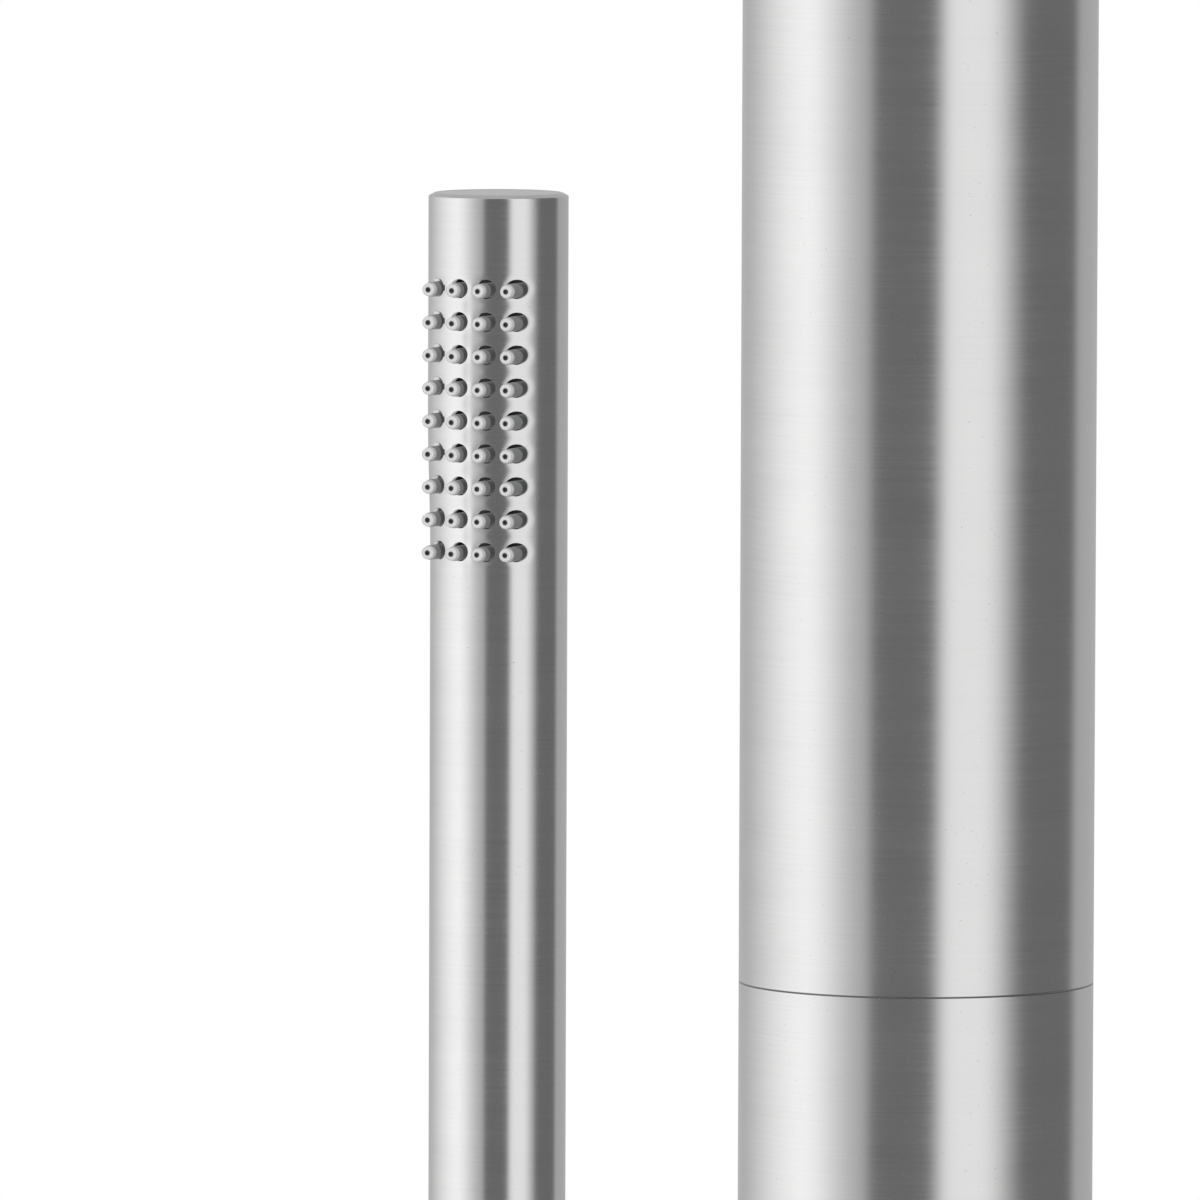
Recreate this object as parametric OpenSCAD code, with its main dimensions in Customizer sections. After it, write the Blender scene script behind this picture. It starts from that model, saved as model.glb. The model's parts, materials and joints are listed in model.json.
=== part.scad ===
// Wall-mounted outdoor shower in brushed stainless steel: a thick column on two wall stand-offs, with a
// mixer, a diverter, a baton hand shower in a side holder and an overhead shower on an arm.
// Millimetres, +Z up. The wall is the plane y = 0, and the shower stands in front of it, towards -Y.
// The origin is the middle of the lower wall plate, level with the mixer.

/* [Column] */
// Outer diameter of the column tubes
column_d = 61.5; // [60:0.5:80]
// Wall of the column tubes
column_wall = 1.5; // [1:0.1:2.5]
// Distance from the wall to the column's axis
column_reach = 80; // [72:1:120]
// Height of the seam above the mixer's axis
seam_h = 110; // [100:1:160]
// Length of the riser tube above the seam
riser_len = 890; // [500:10:1200]
// Length of the lower housing below the mixer's axis
housing_drop = 142; // [138:1:200]
// Chamfer on the tube ends that makes the fine line of the seam
seam_chamfer = 0.3; // [0.1:0.05:0.6]
// Length of the sleeve that joins the two tubes
sleeve_len = 60; // [30:1:90]
// Wall of the joining sleeve
sleeve_wall = 2; // [1:0.1:4]
// Thickness of the end caps' visible rims
cap_rim = 4; // [2:0.5:8]
// Depth of the end caps' plugs inside the tubes
cap_plug = 10; // [6:1:20]

/* [Wall fixing] */
// How much narrower than the column the lower stand-off is, at each side
standoff_step = 0.75; // [0.5:0.05:1]
// Wall of the lower stand-off
lower_standoff_wall = 1.5; // [1:0.1:2]
// Thickness of the stand-off's floor, which the valve block is screwed to
standoff_floor_t = 3; // [2:0.5:5]
// Diameter of the lower wall plate
lower_plate_d = 88; // [84:1:110]
// Thickness of the wall plates
plate_t = 6; // [4:0.5:10]
// Length of the wall plates' sockets
socket_len = 12; // [8:1:20]
// Wall of the lower plate's socket
socket_wall = 3; // [2:0.1:3.2]
// Diameter of the screws that hold the stand-offs on their sockets
fix_screw_d = 4; // [3:0.5:5]
// Length of those screws
fix_screw_len = 4.2; // [3.9:0.1:4.4]
// Pitch circle of the lower plate's screws
lower_pcd = 74; // [73:1:78]
// Number of the lower plate's screws
lower_screws = 4; // [3:1:6]
// Radius of the wall screw holes
wall_hole_r = 2.75; // [2:0.05:3.5]
// Depth of the upper stand-off's axis below the riser's top
upper_drop = 150; // [110:10:400]
// Diameter of the upper stand-off
upper_standoff_d = 24; // [18:1:30]
// Diameter of the upper wall plate
upper_plate_d = 54; // [50:1:70]
// Pitch circle of the upper plate's screws
upper_pcd = 40; // [38:1:44]
// Number of the upper plate's screws
upper_screws = 3; // [3:1:4]
// How far the rosettes stand over the plates' rims
rosette_over = 2; // [1:0.5:6]
// Sheet thickness of the rosettes and collars
sheet_t = 1.2; // [0.8:0.1:2]

/* [Inlets and valve block] */
// Distance between the hot and cold inlets
inlet_pitch = 28; // [27:0.5:28.5]
// Outer diameter of the half-inch pipe threads
thread_d = 20.95; // [20:0.05:21]
// Length of the pipe threads
thread_len = 14; // [10:1:20]
// Bore of the inlets
inlet_bore = 15; // [12:0.5:16]
// Diameter of the valve block's trunk
trunk_d = 34; // [30:1:40]
// Wall of the block's bosses round the cartridges
boss_wall = 3.35; // [2.5:0.05:3.5]
// Wall of the collars round the bosses
collar_wall = 2.7; // [1.5:0.1:4]
// Depth of the diverter's axis below the mixer's
diverter_drop = 78; // [60:1:90]
// Bore of the water ways
way_d = 9; // [7:0.5:9.5]
// Bore of the hot and cold ways
feed_d = 7; // [5:0.5:8]
// Distance of the hot and cold ways from the middle
feed_x = 10; // [9:0.5:11]
// Depth of the sockets for the inlets and pipes
socket_depth = 10; // [8:1:12]
// Outer diameter of the riser's inner pipe
pipe_d = 15; // [12:0.5:16]
// How far behind the column's axis the inner pipe stands
pipe_back = 4; // [3:0.5:5]

/* [Mixer] */
// Diameter of the mixer's cartridge
cartridge_d = 35; // [33:1:36]
// Length of the mixer's cartridge
cartridge_len = 32; // [28:1:36]
// Diameter of the mixer's knob
knob_d = 44; // [36:1:50]
// Length of the mixer's knob
knob_len = 28; // [20:1:40]
// Diameter of the mixer's lever pin
lever_d = 8; // [5:0.5:12]
// Length of the lever pin outside the knob
lever_len = 58; // [30:1:90]
// Diameter of the mixer's spindle
spindle_d = 9; // [7:0.5:12]

/* [Diverter] */
// Diameter of the diverter's cartridge
diverter_cartridge_d = 22; // [19:1:24]
// Diameter of the diverter's knob
diverter_knob_d = 30; // [26:1:34]
// Length of the diverter's knob
diverter_knob_len = 20; // [14:1:30]
// Diameter of the diverter's lever pin
diverter_lever_d = 6; // [4:0.5:8]
// Length of the diverter's lever pin outside the knob
diverter_lever_len = 26; // [15:1:40]

/* [Overhead shower] */
// Diameter of the shower arm
arm_d = 24; // [20:1:28]
// Wall of the shower arm
arm_wall = 1.5; // [1:0.1:2.5]
// Depth of the arm's axis below the riser's top
arm_drop = 45; // [35:1:90]
// Distance from the column's axis to the overhead shower's middle
arm_reach = 330; // [240:5:450]
// Bend radius of the arm at its axis
arm_bend = 40; // [30:1:60]
// Length of the arm's straight end below the bend
arm_tail = 18; // [16:1:40]
// Diameter of the overhead shower
head_d = 200; // [150:5:300]
// Thickness of the overhead shower at its rim
head_t = 8; // [7:0.5:14]
// Sheet thickness of the overhead shower
head_sheet = 1.2; // [1:0.1:2]
// Diameter of the ball that carries the overhead shower
ball_d = 18; // [16:1:22]
// Number of nozzle rings round the middle nozzle
head_rings = 5; // [2:1:6]
// Bare rim outside the last nozzle ring
head_margin = 20; // [12:1:30]
// Nozzles in the first ring, and how many more each next ring has
ring_step = 6; // [4:1:6]

/* [Hand shower] */
// Diameter of the hand shower's tube
stick_d = 24; // [22:0.5:28]
// Wall of the hand shower's tube
stick_wall = 1.2; // [0.8:0.1:2]
// Length of the hand shower's tube
stick_len = 207; // [190:1:260]
// Sideways distance from the column's axis to the hand shower's
stick_offset = 79; // [70:0.5:100]
// Chamfer round the hand shower's top
stick_chamfer = 0.8; // [0.3:0.1:2]
// Rows of nozzles along the hand shower
nozzle_rows = 9; // [3:1:12]
// Columns of nozzles across the hand shower
nozzle_cols = 4; // [2:2:4]
// Distance between the nozzle rows
row_pitch = 5.74; // [4.5:0.01:6.5]
// Distance between the nozzle columns
col_pitch = 4.9; // [4:0.05:5.2]
// Depth of the first nozzle row below the tube's top
first_row = 16.3; // [10:0.1:30]
// Diameter of the holes that the nozzles come through
nozzle_hole_d = 3.4; // [2.5:0.05:3.8]
// Diameter of a nozzle where it leaves the tube
nozzle_base_d = 3.05; // [2:0.05:3.2]
// Diameter of a nozzle at its tip
nozzle_tip_d = 2.65; // [1.5:0.05:3]
// Diameter of a nozzle's spray hole
orifice_d = 0.6; // [0.4:0.05:1.2]
// Reach of the inner nozzles' tips from the tube's axis
inner_tip_reach = 15.5; // [13:0.1:18]
// Reach of the outer nozzles' tips from the tube's axis
outer_tip_reach = 14.5; // [12:0.1:18]

/* [Holder] */
// Outer diameter of the holder's cup
cup_d = 34; // [32:1:40]
// Wall of the holder's cup
cup_wall = 2.5; // [1.5:0.1:3]
// Height of the holder's cup
cup_h = 30; // [22:1:36]
// Height of the holder's floor above the mixer's axis
cup_floor_h = 34; // [26:1:40]
// Thickness of the floors of the cup and of its liner
cup_floor_t = 2; // [1:0.1:4]
// Width of the hose slot through the holder
slot_w = 15.5; // [13:0.5:17]
// Diameter of the arm that carries the holder
holder_arm_d = 14; // [10:0.5:18]

/* [Hidden] */

$fn = 96;
// Radial gap between round pieces that sit in each other
fit = 0.15;
// Running gap between pieces that move on each other
run = 0.3;
// Overrun of every cut
cut = 1;
// Turn of the first wall screw, so that no screw stands level with the axis
first_screw_turn = 45;
// Facets of small holes and pins, and of the finest holes
small_fn = 24;
fine_fn = 16;
// Turn that lays a piece built along +Z along -Y, out of the front
front_turn = [90, 0, 0];
// Turn that lays a piece built along +Z along +Y, towards the wall
wall_turn = [-90, 0, 0];

steel_c = "silver";
brass_c = "darkkhaki";
plastic_c = "dimgray";
rubber_c = [0.15, 0.15, 0.15];
silicone_c = [0.55, 0.56, 0.57];
ceramic_c = "white";

column_r = column_d / 2;
column_in_r = column_r - column_wall;
column_y = -column_reach;
riser_top = seam_h + riser_len;
upper_h = riser_top - upper_drop;
arm_z = riser_top - arm_drop;
arm_in_r = arm_d / 2 - arm_wall;

// Valve block, measured from the column's axis
mixer_boss_d = cartridge_d + 2 * boss_wall + 2 * fit;
diverter_boss_d = diverter_cartridge_d + 2 * boss_wall + 2 * fit;
mixer_collar_d = mixer_boss_d + 4 * fit + 2 * collar_wall;
diverter_collar_d = diverter_boss_d + 4 * fit + 2 * collar_wall;
block_front = column_in_r - 4 * fit;
cartridge_floor = block_front - cartridge_len;
block_back = column_r + column_wall / 2;
feed_floor = block_back - socket_depth;
riser_way_back = way_d / 2 - cartridge_floor + column_wall;
mixed_way_front = trunk_d / 2 - way_d / 2 - column_wall;
diverter_floor = block_front - diverter_cartridge_d;
trunk_top = mixer_boss_d / 2 + socket_depth + cap_rim;
trunk_low = -diverter_drop - diverter_boss_d / 2 - socket_depth;
outlet_shank_d = 17;
outlet_top = trunk_low + socket_depth / 2;
block_screw_d = 5;
block_screw_z = mixer_boss_d / 2 - block_screw_d;
block_screw_len = 12;
block_screw_head_d = 8;

// Mixer, measured along its axis from the column's axis
nut_t = cap_rim;
collar_front = column_r + cap_rim + nut_t;
knob_back = collar_front + run * 2;
knob_front = knob_back + knob_len;
disc_d = cartridge_d - 4 * column_wall;
disc_t = cap_rim;
seal_t = column_wall;
flange_t = 3;
knob_skin = 3 * column_wall;
grub_d = 4;

// Diverter, measured the same way
diverter_collar_front = column_r + cap_rim;
diverter_knob_back = diverter_collar_front + run * 2;
diverter_knob_front = diverter_knob_back + diverter_knob_len;
diverter_spindle_d = spindle_d - 2 * column_wall;

// Wall side, measured from the wall
lower_standoff_d = column_d - 2 * standoff_step;
standoff_in_d = lower_standoff_d - 2 * lower_standoff_wall;
lower_socket_r = standoff_in_d / 2 - fit;
upper_socket_r = upper_standoff_d / 3;
fix_screw_y = -plate_t - socket_len * 0.7;
inlet_x = inlet_pitch / 2;
upper_bolt_d = 8;
upper_bolt_head_d = 13;
upper_bolt_len = 26;
upper_bolt_seat = sqrt(pow(column_in_r, 2) - pow(upper_bolt_head_d / 2, 2));

// Inlets with their check valves
inlet_shank_d = inlet_bore + 2 * column_wall;
inlet_spigot_d = feed_d + 2 * column_wall;
check_len = 22;
strainer_t = 1.5;
check_back_y = thread_len - strainer_t - 2 * column_wall;
check_front_y = check_back_y - check_len;
poppet_travel = 2.5;
check_body_d = inlet_bore - 2 * fit;
check_in_d = check_body_d - 2 * column_wall;
seat_d = check_in_d - 3 * column_wall;
poppet_d = check_in_d - column_wall - 2 * run;
stem_d = 2.4;
seat_len = 3;
bridge_len = 3;
spring_wire = 0.5;
spring_turns = 5;
spring_steps = 12;
spring_sides = 6;

// Overhead shower
arm_start = column_r / 2;
elbow_d = 22;
elbow_top = 8;
elbow_plug = arm_start + socket_depth;
elbow_low = arm_z - arm_d / 2 - socket_depth - column_wall;
arm_nut_d = arm_d + 2 * cap_rim;
arm_end_z = arm_z - arm_bend - arm_tail;
arm_y = column_y - arm_reach;
stud_neck_d = ball_d * 0.6;
ball_z = arm_end_z - ball_d;
seat_t = 2;
nut_wall = 2.5;
nut_r = ball_d / 2 + seat_t + run + nut_wall;
hub_top = ball_z - ball_d / 4;
hub_h = ball_d * 0.75;
head_top = hub_top - hub_h;
head_low = head_top - head_t;
head_nozzle_d = 3;
head_ring_pitch = (head_d / 2 - head_margin) / head_rings;
head_nozzle_drop = 1.5;
mat_t = 1.2;

// Hand shower, measured from the origin
stick_low = cup_floor_h + 2 * cup_floor_t;
stick_top = stick_low + stick_len;
stick_r = stick_d / 2;
stick_in_r = stick_r - stick_wall;
strip_t = 1.6;
strip_gap = fit;
nozzle_sag = 0.1;
strip_end = row_pitch;
liner_r = cup_d / 2 - cup_wall - fit;
tail_spigot = 16;
tail_shank = 2 * cup_floor_t + run;
holder_screw_d = 6;
holder_screw_head_d = 10;
holder_screw_len = 12;

// Frames: the column, the baton, the overhead shower, depths in front of the column's axis, the levers' and
// the holder's sideways axes
module at_column() translate([0, column_y, 0]) children();
module at_stick() translate([-stick_offset, column_y, 0]) children();
module at_head() translate([0, arm_y, 0]) children();
module front_from(depth, z = 0) at_column() translate([0, -depth, z]) rotate(front_turn) children();
module front_column(depth, z) translate([0, column_y - depth, z]) children();
module lever_hole(depth, z) at_column() translate([0, -depth, z]) rotate([0, 90, 0]) children();
module holder_axis() at_column() translate([0, 0, cup_floor_h + cup_h / 2]) rotate([0, -90, 0]) children();

module ring(r_out, r_in, h) {
    difference() {
        cylinder(r = r_out, h = h);
        translate([0, 0, -cut]) cylinder(r = r_in, h = h + 2 * cut);
    }
}

// A round bar with its far edge chamfered
module bar(d, h, chamfer) {
    rotate_extrude() polygon([[0, 0], [d / 2, 0], [d / 2, h - chamfer], [d / 2 - chamfer, h], [0, h]]);
}

// A tube with both outer edges chamfered
module edged_tube(r, wall, z0, z1, chamfer) {
    rotate_extrude() polygon([[r - wall, z0], [r - chamfer, z0], [r, z0 + chamfer], [r, z1 - chamfer],
        [r - chamfer, z1], [r - wall, z1]]);
}

module column_cutter(gap) {
    at_column() translate([0, 0, -housing_drop]) cylinder(r = column_r + gap, h = housing_drop + riser_top);
}

// Column tubes, their joining sleeve and their caps
module riser_tube() {
    color(steel_c) difference() {
        at_column() edged_tube(column_r, column_wall, seam_h, riser_top, seam_chamfer);
        front_from(0, arm_z) cylinder(d = arm_d + 2 * fit, h = column_r + cut);
        translate([0, column_y, upper_h]) rotate(wall_turn)
            cylinder(d = upper_bolt_d + 2 * fit, h = column_r + cut);
    }
}

module lower_housing() {
    color(steel_c) difference() {
        at_column() edged_tube(column_r, column_wall, -housing_drop, seam_h, seam_chamfer);
        front_from(-column_r - cut) cylinder(d = mixer_boss_d + 4 * fit, h = 2 * (column_r + cut));
        front_from(0, -diverter_drop) cylinder(d = diverter_boss_d + 4 * fit, h = column_r + cut);
        holder_axis() cylinder(d = holder_screw_d + 2 * fit, h = column_r + cut);
    }
}

module joint_sleeve() {
    color(steel_c) at_column() translate([0, 0, seam_h - sleeve_len / 2])
        ring(column_in_r - fit, column_in_r - fit - sleeve_wall, sleeve_len);
}

// A cap with a rim as wide as the tube and a grooved plug, built with its rim upwards
module cap(hole_d) {
    plug_r = column_in_r - fit;
    groove = cap_plug / 3;
    difference() {
        rotate_extrude() polygon([[0, -cap_plug], [plug_r, -cap_plug], [plug_r, -2 * groove],
            [plug_r - column_wall, -2 * groove], [plug_r - column_wall, -groove], [plug_r, -groove],
            [plug_r, 0], [column_r, 0], [column_r, cap_rim - seam_chamfer],
            [column_r - seam_chamfer, cap_rim], [0, cap_rim]]);
        translate([0, 0, -cap_plug - cut]) cylinder(d = hole_d, h = cap_plug + cap_rim + 2 * cut);
        translate([0, 0, -cap_plug - cut])
            ring(plug_r - 3 * column_wall, hole_d / 2 + 3 * column_wall, cap_plug);
    }
}

module top_cap() {
    color(steel_c) at_column() translate([0, 0, riser_top]) cap(2 * column_wall);
}

module bottom_cap() {
    color(steel_c) at_column() translate([0, 0, -housing_drop]) mirror([0, 0, 1])
        cap(outlet_shank_d + 2 * fit);
}

module cap_seals() {
    plug_r = column_in_r - fit;
    groove = cap_plug / 3;
    for (z = [riser_top - 1.5 * groove, -housing_drop + 1.5 * groove])
        color(rubber_c) at_column() translate([0, 0, z - groove / 2 + fit / 2])
            ring(plug_r, plug_r - column_wall + fit, groove - fit);
}

// Wall plates with their sockets, stand-offs and rosettes
module wall_plate(plate_d, pcd, count, socket_r, opening_r) {
    rotate(front_turn) difference() {
        union() {
            cylinder(d = plate_d, h = plate_t);
            cylinder(r = socket_r, h = plate_t + socket_len);
        }
        translate([0, 0, -cut]) cylinder(r = opening_r, h = plate_t + socket_len + 2 * cut);
        for (i = [0 : count - 1])
            rotate([0, 0, first_screw_turn + i * 360 / count]) translate([pcd / 2, 0, -cut])
                cylinder(r = wall_hole_r, h = plate_t + 2 * cut);
    }
}

module rosette(outer_d, hole_d, depth) {
    rotate(front_turn) difference() {
        bar(outer_d, depth, sheet_t);
        translate([0, 0, -cut]) cylinder(d = outer_d - 2 * sheet_t, h = depth - sheet_t + cut);
        translate([0, 0, -cut]) cylinder(d = hole_d, h = depth + 2 * cut);
    }
}

// Holes for the screws that hold a stand-off on its socket, from its surface inwards
module fix_screws(outer_r, z, sides, d, h) {
    for (side = sides)
        translate([0, fix_screw_y, z + side * outer_r]) mirror([0, 0, side > 0 ? 1 : 0])
            cylinder(d = d, h = h);
}

module lower_fix_holes() {
    for (side = [-1, 1])
        translate([0, 0, side * cut])
            fix_screws(lower_standoff_d / 2, 0, [side], fix_screw_d + 2 * fit, fix_screw_len + cut + fit);
}

module upper_fix_hole() {
    translate([0, 0, -cut])
        fix_screws(upper_standoff_d / 2, upper_h, [-1], fix_screw_d + 2 * fit, fix_screw_len + cut + fit);
}

module standoff_fix_screws() {
    color(steel_c) {
        fix_screws(lower_standoff_d / 2, 0, [-1, 1], fix_screw_d, fix_screw_len);
        fix_screws(upper_standoff_d / 2, upper_h, [-1], fix_screw_d, fix_screw_len);
    }
}

module lower_wall_plate() {
    color(steel_c) difference() {
        wall_plate(lower_plate_d, lower_pcd, lower_screws, lower_socket_r, lower_socket_r - socket_wall);
        lower_fix_holes();
    }
}

// The stand-off's saddle end fits round the housing, and its floor has holes for the inlets and the screws
module lower_standoff() {
    floor_back = block_back + standoff_floor_t;
    color(steel_c) difference() {
        translate([0, -plate_t, 0]) rotate(front_turn)
            cylinder(d = lower_standoff_d, h = column_reach - plate_t);
        translate([0, cut, 0]) rotate(front_turn)
            cylinder(d = standoff_in_d, h = column_reach - floor_back + cut);
        front_from(-block_back) cylinder(d = standoff_in_d, h = block_back);
        for (side = [-1, 1]) {
            translate([side * inlet_x, 0, 0]) front_from(-column_reach)
                cylinder(d = inlet_spigot_d + 2 * fit, h = column_reach);
            translate([0, 0, side * block_screw_z]) front_from(-column_reach)
                cylinder(d = block_screw_d + 2 * fit, h = column_reach);
        }
        lower_fix_holes();
        column_cutter(0);
    }
}

module lower_rosette() {
    color(steel_c) rosette(lower_plate_d + 2 * (rosette_over + sheet_t), lower_standoff_d + 2 * fit,
        plate_t + rosette_over + sheet_t);
}

module upper_wall_plate() {
    color(steel_c) difference() {
        translate([0, 0, upper_h])
            wall_plate(upper_plate_d, upper_pcd, upper_screws, upper_socket_r, upper_socket_r / 2);
        upper_fix_hole();
    }
}

module upper_standoff() {
    color(steel_c) difference() {
        translate([0, -plate_t, upper_h]) rotate(front_turn)
            cylinder(d = upper_standoff_d, h = column_reach - plate_t);
        translate([0, cut, upper_h]) rotate(front_turn)
            cylinder(r = upper_socket_r + fit, h = plate_t + socket_len + cut + fit);
        translate([0, column_y, upper_h]) rotate(wall_turn)
            cylinder(d = upper_bolt_d + 2 * fit, h = upper_bolt_seat + upper_bolt_len + fit);
        upper_fix_hole();
        column_cutter(0);
    }
}

module upper_rosette() {
    color(steel_c) translate([0, 0, upper_h]) rosette(upper_plate_d + 2 * (rosette_over + sheet_t),
        upper_standoff_d + 2 * fit, plate_t + rosette_over + sheet_t);
}

// The bolt's head lies flat on two sides against the tube's inner wall
module upper_standoff_bolt() {
    bolt_head_t = upper_bolt_d / 2;
    color(steel_c) translate([0, column_y, upper_h]) rotate(wall_turn) {
        translate([0, 0, upper_bolt_seat - bolt_head_t]) cylinder(d = upper_bolt_head_d, h = bolt_head_t);
        translate([0, 0, upper_bolt_seat]) cylinder(d = upper_bolt_d, h = upper_bolt_len);
    }
}

// Two screws through the stand-off's floor and the housing into the valve block
module block_screws() {
    seat = block_back + standoff_floor_t;
    color(steel_c) for (side = [-1, 1])
        translate([0, column_y, side * block_screw_z]) rotate(wall_turn) {
            translate([0, 0, seat - block_screw_len]) cylinder(d = block_screw_d, h = block_screw_len);
            translate([0, 0, seat]) cylinder(d = block_screw_head_d, h = block_screw_d / 2);
        }
}

// Hot and cold inlets, each with a strainer and a check valve
module inlet_nipples() {
    whole = column_reach - feed_floor;
    shank = column_reach - block_back - standoff_floor_t;
    color(brass_c) for (side = [-1, 1])
        translate([side * inlet_x, -whole, 0]) rotate(wall_turn) difference() {
            union() {
                cylinder(d = inlet_spigot_d, h = whole);
                translate([0, 0, whole - shank]) cylinder(d = inlet_shank_d, h = shank);
                translate([0, 0, whole]) cylinder(d = thread_d, h = thread_len);
            }
            translate([0, 0, -cut]) cylinder(d = feed_d, h = whole + thread_len + 2 * cut);
            translate([0, 0, whole + check_front_y]) cylinder(d = inlet_bore, h = whole + thread_len);
        }
}

module inlet_strainers() {
    color(steel_c) for (side = [-1, 1])
        translate([side * inlet_x, check_back_y + fit, 0]) rotate(wall_turn) difference() {
            cylinder(d = inlet_bore - 2 * fit, h = strainer_t);
            for (i = [0 : 5])
                rotate([0, 0, i * 60]) translate([inlet_bore / 4, 0, -cut])
                    cylinder(d = strainer_t, h = strainer_t + 2 * cut);
        }
}

// A check valve's body has its seat at the wall end, and a bridge that guides the poppet's stem
module check_valve_bodies() {
    color(plastic_c) for (side = [-1, 1])
        translate([side * inlet_x, check_back_y, 0]) rotate(front_turn) difference() {
            cylinder(d = check_body_d, h = check_len);
            translate([0, 0, -cut]) cylinder(d = seat_d, h = seat_len + 2 * cut);
            translate([0, 0, seat_len]) cylinder(d = check_in_d, h = check_len - seat_len - bridge_len);
            translate([0, 0, check_len - bridge_len - cut])
                cylinder(d = stem_d + 2 * run, h = bridge_len + 2 * cut);
            for (i = [0 : 2])
                rotate([0, 0, i * 120]) translate([check_in_d / 3, 0, check_len - bridge_len - cut])
                    cylinder(d = stem_d, h = bridge_len + 2 * cut);
        }
}

module check_poppet(side) {
    stem = check_len - seat_len - poppet_travel;
    color(plastic_c) translate([side * inlet_x, check_back_y - seat_len, 0]) rotate(front_turn) {
        cylinder(d = poppet_d, h = column_wall);
        cylinder(d = stem_d, h = stem);
    }
}
module hot_check_poppet() check_poppet(-1);
module cold_check_poppet() check_poppet(1);

// Coil springs of the check valves
module check_spring(side) {
    z0 = seat_len + column_wall + spring_wire / 2 + fit / 2;
    z1 = check_len - bridge_len - spring_wire / 2 - fit / 2;
    r = stem_d / 2 + run + spring_wire;
    count = spring_turns * spring_steps;
    points = [for (i = [0 : count], k = [0 : spring_sides - 1])
        let (a = 360 * i / spring_steps, b = 360 * k / spring_sides, rr = r + spring_wire / 2 * cos(b))
        [rr * cos(a), rr * sin(a), z0 + (z1 - z0) * i / count + spring_wire / 2 * sin(b)]];
    walls = [for (i = [0 : count - 1], k = [0 : spring_sides - 1])
        let (k2 = (k + 1) % spring_sides, p = i * spring_sides, q = p + spring_sides)
        each [[p + k, q + k, q + k2], [p + k, q + k2, p + k2]]];
    ends = [[for (k = [0 : spring_sides - 1]) k],
        [for (k = [0 : spring_sides - 1]) count * spring_sides + spring_sides - 1 - k]];
    color(steel_c) translate([side * inlet_x, check_back_y, 0]) rotate(front_turn)
        polyhedron(points, concat(walls, ends));
}
module hot_check_spring() check_spring(-1);
module cold_check_spring() check_spring(1);

// Brass valve block: a trunk with bosses for the mixer and the diverter, and bored water ways
module valve_block() {
    color(brass_c) difference() {
        union() {
            at_column() translate([0, 0, trunk_low]) cylinder(d = trunk_d, h = trunk_top - trunk_low);
            front_from(-block_back) cylinder(d = mixer_boss_d, h = block_back + block_front);
            front_from(0, -diverter_drop) cylinder(d = diverter_boss_d, h = block_front);
        }
        front_from(cartridge_floor) cylinder(d = cartridge_d + 2 * fit, h = cartridge_len + cut);
        front_from(diverter_floor, -diverter_drop)
            cylinder(d = diverter_cartridge_d + 2 * fit, h = diverter_cartridge_d + cut);
        for (side = [-1, 1]) {
            translate([side * inlet_x, 0, 0]) front_from(-block_back - cut)
                cylinder(d = inlet_spigot_d + 2 * fit, h = socket_depth + cut + fit);
            translate([side * feed_x, 0, 0]) front_from(-feed_floor - fit)
                cylinder(d = feed_d, h = feed_floor + cartridge_floor + fit + cut);
            translate([0, 0, side * block_screw_z]) front_from(-block_back - cut)
                cylinder(d = block_screw_d + 2 * fit, h = block_screw_len - standoff_floor_t + cut + fit);
        }
        // From the mixer down to the diverter
        front_column(mixed_way_front, -diverter_drop) cylinder(d = way_d, h = diverter_drop);
        // From the diverter back and up to the riser's pipe
        front_from(-riser_way_back, -diverter_drop)
            cylinder(d = way_d, h = riser_way_back + diverter_floor + cut);
        front_column(-riser_way_back, -diverter_drop)
            cylinder(d = way_d, h = diverter_drop + trunk_top - socket_depth + cut);
        front_column(-pipe_back, trunk_top - socket_depth)
            cylinder(d = pipe_d + 2 * fit, h = socket_depth + cut);
        // From the diverter down to the hose
        front_column(mixed_way_front, outlet_top) cylinder(d = way_d / 2, h = -diverter_drop - outlet_top);
        at_column() translate([0, 0, trunk_low - cut])
            cylinder(d = outlet_shank_d + 2 * fit, h = socket_depth + cut - column_wall);
    }
}

// Pipe from the block to the elbow behind the shower arm
module riser_pipe() {
    z0 = trunk_top - socket_depth + fit;
    z1 = arm_z - arm_d / 2 - column_wall;
    color(steel_c) front_column(-pipe_back, z0) ring(pipe_d / 2, pipe_d / 2 - column_wall, z1 - z0);
}

// Brass elbow: it takes the pipe from below and plugs into the arm in front
module arm_elbow() {
    color(brass_c) difference() {
        union() {
            front_column(-pipe_back, elbow_low) cylinder(d = elbow_d, h = arm_z + elbow_top - elbow_low);
            front_from(-pipe_back, arm_z) cylinder(r = arm_in_r - fit, h = elbow_plug + pipe_back);
        }
        front_column(-pipe_back, elbow_low - cut) cylinder(d = pipe_d + 2 * fit, h = socket_depth + cut);
        front_column(-pipe_back, elbow_low) cylinder(d = way_d, h = arm_z - elbow_low);
        front_from(-pipe_back, arm_z) cylinder(d = way_d, h = elbow_plug + pipe_back + cut);
    }
}

// Outlet for the shower hose, through the bottom cap into the block
module hose_outlet() {
    flange = cap_rim;
    low = -housing_drop - cap_rim;
    color(steel_c) at_column() difference() {
        union() {
            translate([0, 0, low]) cylinder(d = outlet_shank_d, h = outlet_top - low);
            translate([0, 0, low - flange]) cylinder(d = thread_d + 2 * cap_rim, h = flange);
            translate([0, 0, low - flange - thread_len]) cylinder(d = thread_d, h = thread_len + cut);
        }
        translate([0, 0, low - flange - thread_len - cut])
            cylinder(d = way_d, h = outlet_top - low + flange + thread_len + 2 * cut);
    }
}

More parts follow.
